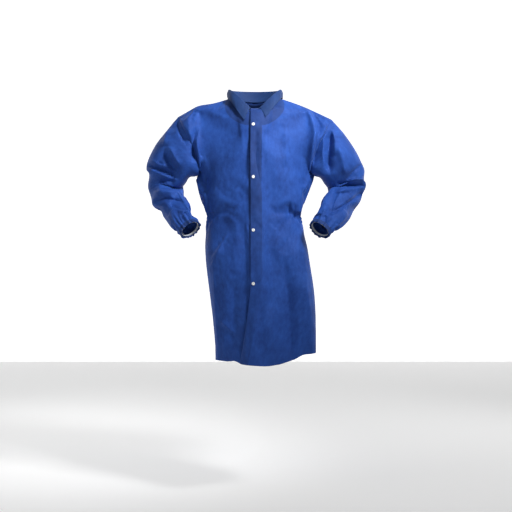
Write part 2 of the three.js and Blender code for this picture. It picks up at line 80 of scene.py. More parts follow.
def smooth(t):
    """An even rise from 0 to 1 with soft ends."""
    t = np.clip(t, 0.0, 1.0)
    return t * t * (3 - 2 * t)


def hermite(z, rows):
    """The four sizes of the body at height z, on smooth curves through the rows."""
    z = np.clip(z, rows[0, 0], rows[-1, 0])
    slopes = np.zeros_like(rows)
    slopes[1:-1] = (rows[2:] - rows[:-2]) / (rows[2:, :1] - rows[:-2, :1])
    i = np.clip(np.searchsorted(rows[:, 0], z, side="right") - 1, 0, len(rows) - 2)
    h = rows[i + 1, 0] - rows[i, 0]
    t = (z - rows[i, 0]) / h
    a, b = 2 * t**3 - 3 * t**2 + 1, 3 * t**2 - 2 * t**3
    c, d = (t**3 - 2 * t**2 + t) * h, (t**3 - t**2) * h
    sizes = []
    for j in (1, 2, 3, 4):
        level = a * rows[i, j] + b * rows[i + 1, j]
        sizes.append(level + c * slopes[i, j] + d * slopes[i + 1, j])
    return np.stack(sizes)


def top_z(x, back):
    """Height of the neckline and shoulder seam."""
    a = np.abs(x)
    low = NECK_BACK_Z if back else NECK_FRONT_Z
    neck = low + (COAT_LENGTH - low) * (1 - np.sqrt(np.clip(1 - (a / NECK_HALF) ** 2, 0, 1)))
    t = np.clip((a - NECK_HALF) / (SHOULDER_HALF - NECK_HALF), 0, 1)
    return np.where(a <= NECK_HALF, neck, COAT_LENGTH + (SHOULDER_Z - COAT_LENGTH) * t**1.15)


def top_y(x, back):
    """Depth of the neckline and shoulder seam."""
    a = np.abs(x)
    deep = NECK_BACK_Y if back else NECK_FRONT_Y
    neck = NECK_SIDE_Y + (deep - NECK_SIDE_Y) * np.sqrt(np.clip(1 - (a / NECK_HALF) ** 2, 0, 1))
    return np.where(a <= NECK_HALF, neck, NECK_SIDE_Y * (SHOULDER_HALF - a) / (SHOULDER_HALF - NECK_HALF))


def body(q, z, up, back, rows=SECTIONS):
    """Points of the body: q across (-1 to 1), z below the underarm, up (0 to 1) from there to the top."""
    sign = 1.0 if back else -1.0
    side = np.clip(np.abs(q), 0, 1)
    bulge = np.clip(1 - side**SIDE_POWER, 0, 1) ** (1 / SIDE_POWER)
    half, cx, front, rear = hermite(z, rows)
    low = np.stack([cx + half * q, sign * (rear if back else front) * bulge, z + 0 * q], -1)
    chest_half = rows[CHEST_ROW, 1]
    half = chest_half + (SHOULDER_HALF - chest_half) * up
    zt = CHEST_Z + (top_z(SHOULDER_HALF * q, back) - CHEST_Z) * up
    chest = sign * (CHEST_BACK if back else CHEST_FRONT) * bulge
    w = 1 - np.clip(1 - up**2.2, 0, 1) ** (1 / 2.2)
    arm = (ARMHOLE_BACK if back else ARMHOLE_FRONT) * 2 * np.sqrt(np.clip(up * (1 - up), 0, 1))
    y = chest + (top_y(SHOULDER_HALF * q, back) - chest) * w + sign * arm * side ** (6 + 30 * (1 - up) ** 6)
    high = np.stack([half * q, y, zt], -1)
    return np.where((up > 0)[..., None], high, low)


ROWS_LOW, ROWS_HIGH = 56, 24
STRIP, TO_NECK, TO_SIDE = 4, 3, 18
row_z = np.concatenate([np.linspace(0, CHEST_Z, ROWS_LOW + 1), np.full(ROWS_HIGH, CHEST_Z)])
row_up = np.arange(1, ROWS_HIGH + 1) / ROWS_HIGH
row_up = np.concatenate([np.zeros(ROWS_LOW + 1), row_up - 0.6 * np.sin(2 * np.pi * row_up) / (2 * np.pi)])
N_ROWS = len(row_z)
Q_NECK = NECK_HALF / SHOULDER_HALF
T_NECK = math.asin(Q_NECK) * 2 / math.pi
q_side = np.sin(np.linspace(T_NECK, 1, TO_SIDE + 1) * math.pi / 2)


def q_of(x, z, up):
    """The place across the body, -1 to 1, of a point x from the middle."""
    half, cx, _, _ = hermite(z, SECTIONS)
    high = CHEST_HALF + (SHOULDER_HALF - CHEST_HALF) * up
    return np.where(up > 0, x / high, (x - cx) / half)


def edge_x(z, s):
    """Where a front's edge runs; it swings out below the last snap."""
    swing = np.where(z < SWING_Z, EDGE_SWING * np.clip(1 - z / SWING_Z, 0, 1) ** 1.3, 0)
    return UPPER_EDGE - swing if s > 0 else UNDER_EDGE - 0.4 * swing


def front_q(s):
    """q of every grid point of a front, row by row: edge, facing strip, neck, side."""
    z = np.where(row_up > 0, CHEST_Z + (NECK_FRONT_Z - CHEST_Z) * row_up, row_z)
    out = []
    for i in range(N_ROWS):
        e = edge_x(z[i], s)
        strip = q_of(e + s * FACING * np.linspace(0, 1, STRIP + 1), row_z[i], row_up[i])
        mid = strip[-1] + (s * Q_NECK - strip[-1]) * np.linspace(0, 1, TO_NECK + 1)
        out.append(np.concatenate([strip, mid[1:], s * q_side[1:]]))
    return np.array(out)


t_back = np.concatenate(
    [
        -np.linspace(1, T_NECK, TO_SIDE + 1)[:-1],
        np.linspace(-T_NECK, T_NECK, 9)[:-1],
        np.linspace(T_NECK, 1, TO_SIDE + 1),
    ]
)
q_back = np.tile(np.sin(t_back * math.pi / 2), (N_ROWS, 1))
zz, uu = row_z[:, None], row_up[:, None]

# cloth as cut: a straighter, wider body than the one the hands press in at the waist
CUT = SECTIONS.copy()
CUT[:, 1] = (0.224, 0.222, 0.221, 0.220, 0.232, 0.262)
CUT[:, 2] *= 0.6
CUT[:, 3] = (0.155, 0.152, 0.148, 0.142, 0.140, 0.138)
CUT[:, 4] = (0.158, 0.148, 0.140, 0.132, 0.124, 0.120)

grids, cuts = {}, {}
for name, q, back in (("left", front_q(1), False), ("right", front_q(-1), False), ("back", q_back, True)):
    grids[name] = body(q, zz + 0 * q, uu + 0 * q, back)
    cuts[name] = body(q, zz + 0 * q, uu + 0 * q, back, CUT)
    cuts[name][..., 2] *= 1.012


def lap(x):
    """How far the upper front stands off the under front."""
    return 0.0045 * (1 - smooth((x - 0.026) / 0.045))


def grid_normals(g):
    du = np.gradient(g, axis=1)
    dv = np.gradient(g, axis=0)
    n = np.cross(du, dv)
    return n / np.maximum(np.linalg.norm(n, axis=-1, keepdims=True), 1e-9)


left_out = grid_normals(grids["left"])
grids["left"] = grids["left"] + left_out * lap(grids["left"][..., 0])[..., None]


def through(p, f):
    """A smooth curve through four points in a row, at share f between the middle two."""
    bend = 2 * p[0] - 5 * p[1] + 4 * p[2] - p[3]
    twist = 3 * p[1] - p[0] - 3 * p[2] + p[3]
    return 0.5 * (2 * p[1] + (p[2] - p[0]) * f + bend * f**2 + twist * f**3)


def cubic(g, k, axis, wrap=False):
    """A grid of points made k times finer along one axis, by a smooth curve through the points."""
    g = np.moveaxis(g, axis, 0)
    n = len(g)
    spans = n if wrap else n - 1
    t = np.arange(spans * k + (0 if wrap else 1)) / k
    i = np.floor(t).astype(int)
    if not wrap:
        i = np.minimum(i, n - 2)
    f = (t - i).reshape(-1, *[1] * (g.ndim - 1))
    if wrap:
        p = [g[(i + d) % n] for d in (-1, 0, 1, 2)]
    else:
        ext = np.concatenate([2 * g[:1] - g[1:2], g, 2 * g[-1:] - g[-2:-1]])
        p = [ext[i + d + 1] for d in (-1, 0, 1, 2)]
    return np.moveaxis(through(p, f), 0, axis)


def finer(g, k, wrap=False):
    """A grid made k times finer both ways."""
    return cubic(cubic(g, k, 0), k, 1, wrap)


# the sleeves: a ring at the armhole, then stations along the arm, each with its centre (x, y, z)
# and its two half widths
ARM = np.array(
    [
        [0.292, 0.004, 0.817, 0.097, 0.080],
        [0.322, 0.014, 0.781, 0.084, 0.078],
        [0.348, 0.030, 0.748, 0.075, 0.075],
        [0.366, 0.044, 0.719, 0.069, 0.072],
        [0.369, 0.044, 0.690, 0.064, 0.070],
        [0.358, 0.025, 0.662, 0.062, 0.067],
        [0.338, -0.004, 0.634, 0.060, 0.063],
        [0.311, -0.034, 0.598, 0.058, 0.058],
        [0.285, -0.064, 0.560, 0.054, 0.054],
        [0.264, -0.084, 0.534, 0.047, 0.048],
        [0.250, -0.097, 0.517, 0.041, 0.042],
    ]
)
TILT = np.array([SHOULDER_HALF - CHEST_HALF, 0, SHOULDER_Z - CHEST_Z])
RING_C = np.array([(SHOULDER_HALF + CHEST_HALF) / 2, 0, (SHOULDER_Z + CHEST_Z) / 2])
RING_N = np.array([TILT[2], 0, -TILT[0]]) / np.linalg.norm(TILT)


def unit(v):
    return v / np.linalg.norm(v)


def stations():
    """The ring at the armhole and each station: centre, two directions across, two half widths."""
    rows = [(RING_C, unit(TILT), np.array([0, -1.0, 0]), np.linalg.norm(TILT) / 2, ARMHOLE_FRONT)]
    for i, (x, y, z, a, b) in enumerate(ARM):
        c = np.array([x, y, z])
        before = ARM[i - 1, :3] if i else RING_C
        t = unit(ARM[min(len(ARM) - 1, i + 1), :3] - before)
        if i == 0:
            t = unit(t + RING_N)
        outer = np.array([0.55, 0.45, 0.7 * (1 - float(smooth(i / 5)))])
        u = unit(outer - t * (outer @ t))
        rows.append((c, u, unit(np.cross(t, u)), a, b))
    return rows


def spline(values, t):
    """A smooth curve through rows of values that stand at the whole numbers."""
    v = np.asarray(values, float)
    i = np.clip(np.floor(t).astype(int), 0, len(v) - 2)
    f = (t - i)[:, None]
    p = [v[np.clip(i + k, 0, len(v) - 1)] for k in (-1, 0, 1, 2)]
    return through(p, f)


flat = np.array([np.concatenate([c, u, w, [a, b]]) for c, u, w, a, b in stations()])
outer_line = flat[:, :3] + flat[:, 3:6] * flat[:, 9:10]
steps = np.concatenate([[0], np.cumsum(np.linalg.norm(np.diff(outer_line, axis=0), axis=1))])
SLEEVE_ROWS = 70
length = np.linspace(0, steps[-1], SLEEVE_ROWS + 1)
at = np.interp(length, steps, np.arange(len(flat)))
fine = spline(flat, at)
turn = np.arccos(np.clip(2 * row_up[ROWS_LOW:][::-1] - 1, -1, 1))
turn = np.concatenate([turn, 2 * np.pi - turn[1:-1][::-1]])


def sleeve(s, centre, u, w, a, b, first):
    """The grid of a sleeve, ring by ring; its first ring is the armhole's."""
    ca, sa = np.cos(turn)[None, :, None], np.sin(turn)[None, :, None]
    g = centre[:, None] + u[:, None] * a[:, None, None] * ca + w[:, None] * b[:, None, None] * sa
    g[0] = first
    return g * np.array([s, 1, 1])


u_f = fine[:, 3:6] / np.linalg.norm(fine[:, 3:6], axis=1, keepdims=True)
w_f = fine[:, 6:9] / np.linalg.norm(fine[:, 6:9], axis=1, keepdims=True)
for name, s in (("left", 1), ("right", -1)):
    # the armhole ring, from the top round the front, the underarm and the back
    edge_f = grids[name][ROWS_LOW:, -1] * np.array([s, 1, 1])
    edge_b = grids["back"][ROWS_LOW:, -1 if s > 0 else 0] * np.array([s, 1, 1])
    first = np.concatenate([edge_f[::-1], edge_b[1:-1]])
    grids[name + "_sleeve"] = sleeve(s, fine[:, :3], u_f, w_f, fine[:, 9], fine[:, 10], first)
    straight = RING_C[None] + RING_N[None] * length[:, None] * 1.04
    wide = 1.07 - 0.02 * length / length[-1]
    a, b = fine[:, 9] * wide, fine[:, 10] * wide
    one = np.ones((len(length), 1))
    cut_f = cuts[name][ROWS_LOW:, -1] * np.array([s, 1, 1])
    cut_b = cuts["back"][ROWS_LOW:, -1 if s > 0 else 0] * np.array([s, 1, 1])
    cut_ring = np.concatenate([cut_f[::-1], cut_b[1:-1]])
    forward = one * np.array([0, -1.0, 0])
    cuts[name + "_sleeve"] = sleeve(s, straight, one * unit(TILT), forward, a, b, cut_ring)

# weld the five grids into one cloth
points, cut_points, weights = [], [], []
index, ids = {}, {}


def key_of(name, i, j):
    """The shared name of a grid point on a seam, so that both pieces use one point."""
    s = -1 if name.startswith("right") else 1
    last = grids[name].shape[1] - 1
    if name.endswith("sleeve"):
        if i:
            return (name, i, j)
        if j <= ROWS_HIGH:
            if 0 < j < ROWS_HIGH:
                return ("armhole", s, "f", ROWS_HIGH - j)
            return ("armhole", s, "end", 1 if j == 0 else 0)
        return ("armhole", s, "b", j - ROWS_HIGH)
    if name == "back":
        if j in (0, last):
            s = 1 if j == last else -1
            if i < ROWS_LOW:
                return ("side", s, i)
            k = i - ROWS_LOW
            return ("armhole", s, "end", k // ROWS_HIGH) if k in (0, ROWS_HIGH) else ("armhole", s, "b", k)
        if i == N_ROWS - 1 and (j <= TO_SIDE or j >= last - TO_SIDE):
            return ("shoulder", 1 if j > TO_SIDE else -1, min(j, last - j))
        return (name, i, j)
    if j == last:
        if i < ROWS_LOW:
            return ("side", s, i)
        k = i - ROWS_LOW
        return ("armhole", s, "end", k // ROWS_HIGH) if k in (0, ROWS_HIGH) else ("armhole", s, "f", k)
    if i == N_ROWS - 1 and j >= last - TO_SIDE:
        return ("shoulder", s, last - j)
    return (name, i, j)


def hold(name, i, j, p):
    """How firmly a point is held to the worn shape, 0 to 1."""
    x, y, z = p
    if name.endswith("sleeve"):
        r = i / SLEEVE_ROWS
        w = 0.035 + 0.9 * float(smooth((r - 0.93) / 0.07))
        return w + 0.06 * float(smooth(1 - r / 0.08))
    w = 0.035
    w += 0.75 * float(smooth((row_up[i] - 0.80) / 0.2)) * float(smooth((0.26 - abs(x)) / 0.06))
    w += 0.05 * float(smooth((row_up[i] - 0.5) / 0.4))
    if name != "back":
        hand = math.hypot((abs(x) - 0.128) / 0.055, (z - 0.515) / 0.045)
        w += 0.6 * float(smooth(1.5 - hand))
        for h in SNAP_HEIGHTS:
            w += 0.95 * float(smooth(1.6 - math.hypot(x, z - h) / 0.012))
        if j <= STRIP:
            w += 0.06
    return min(w, 1.0)


for name in ("left", "right", "back", "left_sleeve", "right_sleeve"):
    g, c = grids[name], cuts[name]
    ids[name] = np.zeros(g.shape[:2], int)
    for i in range(g.shape[0]):
        for j in range(g.shape[1]):
            key = key_of(name, i, j)
            if key not in index:
                index[key] = len(points)
                points.append(g[i, j])
                cut_points.append(c[i, j])
                weights.append(hold(name, i, j, g[i, j]))
            ids[name][i, j] = index[key]

points, cut_points, weights = np.array(points), np.array(cut_points), np.array(weights)
# the hands press the waist in
for s in (1, -1):
    d = np.hypot((points[:, 0] * s - 0.135) / 0.075, (points[:, 2] - 0.520) / 0.085)
    press = 0.020 * smooth(1.3 - d) * (points[:, 1] < 0)
    points[:, 1] += press

# the arms and shoulders: places pulled from the even shape to where the cloth stands when worn
PULLS = np.array(
    [
        # x, z, then how far in x and z, and over what radius
        [-0.225, 0.976, -0.004, 0.014, 0.050],
        [-0.284, 0.935, -0.009, 0.017, 0.045],
        [-0.325, 0.890, -0.013, 0.017, 0.045],
        [-0.361, 0.834, -0.021, 0.019, 0.045],
        [-0.386, 0.795, -0.027, 0.010, 0.034],
        [-0.402, 0.762, -0.026, 0.000, 0.026],
        [-0.420, 0.700, -0.005, -0.004, 0.026],
        [-0.397, 0.637, -0.013, -0.005, 0.024],
        [-0.262, 0.703, -0.004, 0.030, 0.022],
        [-0.290, 0.680, -0.004, 0.014, 0.014],
        [-0.290, 0.790, 0.000, 0.000, 0.045],
        [-0.360, 0.720, 0.000, 0.000, 0.025],
        [0.230, 0.976, 0.002, -0.003, 0.045],
        [0.289, 0.935, 0.005, 0.004, 0.045],
        [0.324, 0.888, 0.010, 0.010, 0.045],
        [0.350, 0.855, 0.014, 0.009, 0.045],
        [0.371, 0.817, 0.019, 0.007, 0.042],
        [0.392, 0.780, 0.020, 0.005, 0.036],
        [0.407, 0.745, 0.021, 0.006, 0.030],
        [0.419, 0.695, 0.027, 0.008, 0.022],
        [0.409, 0.640, 0.004, -0.002, 0.022],
        [0.356, 0.568, 0.010, -0.005, 0.050],
        [0.262, 0.703, 0.004, 0.026, 0.022],
        [0.283, 0.672, 0.012, 0.010, 0.018],
        [0.290, 0.790, 0.000, 0.000, 0.045],
        [0.360, 0.720, 0.000, 0.000, 0.025],
        # the front of the neck sits a little low
        [0.000, 0.971, 0.000, -0.010, 0.036],
    ]
)
near = np.hypot(points[:, :1] - PULLS[:, 0], points[:, 2:] - PULLS[:, 1])
pull = np.exp(-((near / PULLS[:, 4]) ** 2))
pull = pull / np.maximum(1, pull.sum(1, keepdims=True))
points[:, [0, 2]] += pull @ PULLS[:, 2:4]

# the skirt: the right half draws in and turns away, and the upper front's edge stands off
low = smooth((0.46 - points[:, 2]) / 0.46)
away = np.clip(-points[:, 0] / 0.16, 0, 1.25)
in_front = points[:, 1] < 0
points[:, 1] *= np.where(in_front, 1 - 0.40 * low * away**1.2, 1)
points[:, 0] *= np.where(points[:, 0] < 0, 1 - 0.17 * low, 1)
upper = np.zeros(len(points), bool)
upper[np.unique(ids["left"])] = True
edge_off = np.exp(-np.clip(points[:, 0] + 0.03, 0, 1) / 0.07) * smooth((0.30 - points[:, 2]) / 0.30)
points[:, 1] -= np.where(upper, 0.020 * edge_off, 0)

# the hem is cut so that it dips at the front and rises at the wearer's left
HEM_FRONT = np.array(
    [
        (-0.17, 0.014),
        (-0.10, 0.012),
        (-0.07, 0.016),
        (-0.055, 0.006),
        (0.0, 0.002),
        (0.05, 0.0),
        (0.10, 0.006),
        (0.155, 0.022),
        (0.185, 0.040),
        (0.25, 0.048),
    ]
)
HEM_BACK = np.array([(-0.17, 0.014), (-0.08, 0.010), (0.08, 0.012), (0.185, 0.040), (0.25, 0.048)])
lift = np.where(in_front, np.interp(points[:, 0], *HEM_FRONT.T), np.interp(points[:, 0], *HEM_BACK.T))
points[:, 2] += lift * smooth((0.32 - points[:, 2]) / 0.32)

faces = []
for name, table in ids.items():
    round_ = name.endswith("sleeve")
    cols = table.shape[1]
    for i in range(table.shape[0] - 1):
        for j in range(cols if round_ else cols - 1):
            k = (j + 1) % cols
            quad = (table[i, j], table[i, k], table[i + 1, k], table[i + 1, j])
            flip = name in ("right", "back", "right_sleeve")
            faces.append(quad[::-1] if flip else quad)


DRAPE_FRAMES = 40


def draped():
    """The worn shape after the cloth has been let go for a moment."""
    mesh = bpy.data.meshes.new("drape")
    mesh.from_pydata(points.tolist(), [], [list(map(int, f)) for f in faces])
    obj = bpy.data.objects.new("drape", mesh)
    bpy.context.scene.collection.objects.link(obj)
    obj.shape_key_add(name="worn")
    cut = obj.shape_key_add(name="cut")
    cut.data.foreach_set("co", cut_points.ravel())
    group = obj.vertex_groups.new(name="held")
    for i, w in enumerate(weights):
        group.add([i], float(w), "REPLACE")
    cloth = obj.modifiers.new("cloth", "CLOTH")
    st = cloth.settings
    st.rest_shape_key = cut
    st.quality = 6
    st.mass = 0.12
    st.tension_stiffness = 22
    st.compression_stiffness = 22
    st.shear_stiffness = 10
    st.bending_stiffness = 0.9
    st.tension_damping = st.compression_damping = st.shear_damping = 8
    st.bending_damping = 0.8
    st.air_damping = 2.0
    st.vertex_group_mass = "held"
    st.pin_stiffness = 1.0
    st.effector_weights.gravity = 0.25
    cloth.collision_settings.use_collision = False
    cloth.collision_settings.use_self_collision = False
    cloth.point_cache.frame_start = 1
    cloth.point_cache.frame_end = DRAPE_FRAMES + 20
    scene = bpy.context.scene
    for f in range(1, DRAPE_FRAMES + 1):
        scene.frame_set(f)
    deps = bpy.context.evaluated_depsgraph_get()
    ev = obj.evaluated_get(deps)
    out = np.zeros(len(points) * 3)
    ev.data.vertices.foreach_get("co", out)
    scene.frame_set(1)
    bpy.data.objects.remove(obj)
    return out.reshape(-1, 3)


FAR = 0.034  # no point moves further than this from the worn shape
settled = draped()
move = settled - points
far = np.linalg.norm(move, axis=1, keepdims=True)
settled = points + move / np.sqrt(1 + (far / FAR) ** 2)
settled[:, 1] += FRAME_Y

# ease the row where the chest meets the skirt of each panel
for name in ("left", "right", "back"):
    g = settled[ids[name]]
    for j in range(g.shape[1]):
        side = abs(grids[name][ROWS_LOW, j, 0]) / CHEST_HALF
        far = np.abs(g[:, j, 2] - CHEST_Z)
        ring = (far > 0.030) & (far < 0.085)
        line = np.poly1d(np.polyfit(g[ring, j, 2] - CHEST_Z, g[ring, j, 1], 3))
        share = smooth((0.062 - far) / 0.032) * smooth((0.97 - side) / 0.10)
        settled[ids[name][:, j], 1] += share * (line(g[:, j, 2] - CHEST_Z) - g[:, j, 1])

# how far each point faces forward, 0 to 1, shared along the seams
turned = np.zeros((len(points), 3))
quads = np.array(faces)
face_out = np.cross(settled[quads[:, 2]] - settled[quads[:, 0]], settled[quads[:, 3]] - settled[quads[:, 1]])
for k in range(4):
    np.add.at(turned, quads[:, k], face_out)
turned /= np.linalg.norm(turned, axis=1, keepdims=True)
ahead = smooth((-turned[:, 1] - 0.02) / 0.5)

# The folds that are always there when the arms are bent: depth out (+) or in (-), how wide on each
# side of the line, then the line itself across the front as (x, z).
FOLDS = [
    # the right armpit and sleeve
    (-0.016, 0.020, 0.009, [(-0.222, 0.905), (-0.233, 0.850), (-0.233, 0.795), (-0.226, 0.762)]),
    (0.006, 0.010, 0.010, [(-0.210, 0.900), (-0.219, 0.850), (-0.217, 0.790)]),
    (0.005, 0.014, 0.014, [(-0.262, 0.960), (-0.250, 0.905), (-0.248, 0.850)]),
    (-0.007, 0.026, 0.004, [(-0.300, 0.928), (-0.290, 0.887), (-0.275, 0.858), (-0.262, 0.828)]),
    (0.009, 0.020, 0.012, [(-0.343, 0.902), (-0.345, 0.860), (-0.346, 0.828)]),
    (-0.017, 0.012, 0.016, [(-0.346, 0.816), (-0.325, 0.765), (-0.296, 0.726), (-0.284, 0.716)]),
    (0.008, 0.012, 0.012, [(-0.330, 0.830), (-0.300, 0.775), (-0.280, 0.745)]),
    (-0.006, 0.006, 0.006, [(-0.374, 0.768), (-0.350, 0.759)]),
    (-0.014, 0.008, 0.008, [(-0.424, 0.766), (-0.370, 0.743), (-0.322, 0.724), (-0.289, 0.703)]),
    (0.006, 0.008, 0.008, [(-0.412, 0.782), (-0.365, 0.758), (-0.325, 0.745)]),
    (0.007, 0.012, 0.012, [(-0.415, 0.745), (-0.360, 0.722), (-0.320, 0.705)]),
    (-0.010, 0.010, 0.010, [(-0.370, 0.690), (-0.335, 0.697), (-0.303, 0.694)]),
    (0.011, 0.014, 0.014, [(-0.395, 0.650), (-0.345, 0.660), (-0.295, 0.650)]),
    (
        -0.012,
        0.008,
        0.014,
        [(-0.402, 0.618), (-0.365, 0.624), (-0.337, 0.629), (-0.296, 0.620), (-0.268, 0.611)],
    ),
    (0.005, 0.010, 0.010, [(-0.365, 0.600), (-0.330, 0.560), (-0.300, 0.520)]),
    (-0.005, 0.007, 0.007, [(-0.300, 0.585), (-0.268, 0.545), (-0.258, 0.525)]),
    # the left armpit and sleeve
    (
        -0.017,
        0.024,
        0.006,
        [
            (0.205, 0.978),
            (0.226, 0.952),
            (0.237, 0.918),
            (0.243, 0.878),
            (0.238, 0.860),
            (0.230, 0.818),
            (0.226, 0.768),
            (0.224, 0.745),
        ],
    ),
    (
        0.008,
        0.012,
        0.012,
        [(0.190, 0.970), (0.212, 0.945), (0.223, 0.910), (0.229, 0.875), (0.220, 0.830), (0.212, 0.770)],
    ),
    (-0.021, 0.012, 0.018, [(0.292, 0.900), (0.285, 0.828), (0.281, 0.773), (0.288, 0.720)]),
    (0.009, 0.010, 0.010, [(0.288, 0.902), (0.262, 0.855), (0.258, 0.800), (0.262, 0.740)]),
    (0.007, 0.010, 0.010, [(0.294, 0.900), (0.305, 0.850), (0.302, 0.790)]),
    (0.011, 0.020, 0.014, [(0.310, 0.843), (0.332, 0.777), (0.348, 0.705)]),
    (-0.010, 0.012, 0.005, [(0.414, 0.765), (0.380, 0.737), (0.352, 0.700)]),
    (0.010, 0.007, 0.007, [(0.354, 0.693), (0.380, 0.703), (0.417, 0.706), (0.442, 0.699)]),
    (-0.015, 0.008, 0.008, [(0.310, 0.690), (0.358, 0.681), (0.410, 0.684), (0.432, 0.678)]),
    (0.009, 0.007, 0.007, [(0.308, 0.650), (0.351, 0.664), (0.395, 0.671)]),
    (-0.005, 0.006, 0.006, [(0.322, 0.645), (0.368, 0.655)]),
    (-0.013, 0.008, 0.010, [(0.432, 0.668), (0.380, 0.629), (0.332, 0.596), (0.284, 0.570), (0.262, 0.566)]),
    (0.007, 0.008, 0.008, [(0.400, 0.658), (0.350, 0.617), (0.300, 0.584)]),
    (-0.007, 0.006, 0.006, [(0.264, 0.565), (0.262, 0.520)]),
    (-0.005, 0.006, 0.006, [(0.245, 0.570), (0.228, 0.545)]),
    # the chest and waist
    (-0.006, 0.010, 0.010, [(-0.105, 1.000), (-0.132, 0.985), (-0.155, 0.965)]),
    (0.004, 0.014, 0.014, [(-0.092, 0.628), (-0.064, 0.668), (-0.030, 0.712)]),
    (-0.005, 0.020, 0.020, [(-0.095, 0.575), (-0.055, 0.628), (-0.022, 0.665)]),
    (0.004, 0.010, 0.010, [(-0.110, 0.535), (-0.078, 0.575), (-0.040, 0.618)]),
    (-0.007, 0.010, 0.007, [(-0.188, 0.740), (-0.182, 0.640), (-0.168, 0.550)]),
    (-0.007, 0.006, 0.008, [(0.132, 0.620), (0.129, 0.570), (0.126, 0.530)]),
    (-0.005, 0.006, 0.008, [(0.152, 0.610), (0.149, 0.535)]),
    (0.005, 0.016, 0.016, [(0.115, 0.900), (0.118, 0.820), (0.110, 0.740)]),
    # the skirt
    (0.005, 0.012, 0.004, [(-0.098, 0.505), (-0.124, 0.457), (-0.172, 0.386)]),
    (0.004, 0.010, 0.004, [(-0.128, 0.442), (-0.175, 0.360)]),
    (0.006, 0.014, 0.005, [(-0.138, 0.165), (-0.100, 0.137), (-0.066, 0.108)]),
    (-0.013, 0.030, 0.026, [(-0.080, 0.330), (-0.078, 0.200), (-0.085, 0.050)]),
    (0.005, 0.010, 0.010, [(-0.160, 0.400), (-0.152, 0.200), (-0.142, 0.030)]),
    (-0.013, 0.028, 0.028, [(0.098, 0.450), (0.122, 0.300), (0.132, 0.150), (0.138, -0.020)]),
    (0.008, 0.020, 0.020, [(0.052, 0.230), (0.062, 0.100), (0.066, -0.020)]),
    (-0.008, 0.020, 0.020, [(0.032, 0.260), (0.020, 0.100), (0.014, -0.020)]),
    (0.011, 0.020, 0.020, [(0.185, 0.360), (0.206, 0.200), (0.212, -0.020)]),
]
FOLD_STRENGTH = 1.45
FINE = 4  # how many times finer the cloth is than the drape


def folded(g4):
    """A fine grid with its folds pressed in. A point's fourth value tells how far it faces forward."""
    x, z, face = g4[..., 0], g4[..., 2], g4[..., 3]
    out = np.zeros(x.shape)
    for depth, wide_a, wide_b, line in FOLDS:
        line = np.array(line)
        part = np.linalg.norm(np.diff(line, axis=0), axis=1)
        run = np.concatenate([[0], np.cumsum(part)])
        best = np.full(x.shape, 9.0)
        shape = np.zeros(x.shape)
        for k in range(len(part)):
            d = (line[k + 1] - line[k]) / part[k]
            dx, dz = x - line[k, 0], z - line[k, 1]
            t = np.clip(dx * d[0] + dz * d[1], 0, part[k])
            far = np.hypot(dx - t * d[0], dz - t * d[1])
            side = d[0] * dz - d[1] * dx
            wide = np.where(side > 0, wide_a, wide_b)
            f = (run[k] + t) / run[-1]
            fade = smooth(0.15 + f / 0.3) * smooth(0.15 + (1 - f) / 0.3)
            near = far < best
            best = np.where(near, far, best)
            shape = np.where(near, fade * np.exp(0.25 - np.sqrt((far / wide) ** 2 + 0.0625)), shape)
        out += FOLD_STRENGTH * depth * shape
    return g4[..., :3] - np.stack([0 * out, out * np.clip(face, 0, 1), 0 * out], -1)


def settled_grid(name, k=FINE):
    """The settled cloth of one piece, made k times finer and with its folds."""
    g4 = np.concatenate([settled, ahead[:, None]], 1)[ids[name]]
    return folded(finer(g4, k, name.endswith("sleeve")))


# ------------------------------------------------------------------------------------------------
# The cloth itself: thin spunbond polypropylene, dyed royal blue. Fibres lie in soft clouds and are
# bonded by a fine grid of welded points; where a second layer lies behind it, painted shade darkens it.
# ------------------------------------------------------------------------------------------------
def link(tree, a, b):
    """A wire from one socket to another."""
    tree.links.new(a, b)


def math_node(tree, op, a, b=None, c=None):
    """A sum of sockets or plain values; gives its output socket."""
    n = tree.nodes.new("ShaderNodeMath")
    n.operation = op
    for k, v in enumerate((a, b, c)):
        if v is None:
            continue
        if hasattr(v, "default_value"):
            link(tree, v, n.inputs[k])
        else:
            n.inputs[k].default_value = v
    return n.outputs[0]


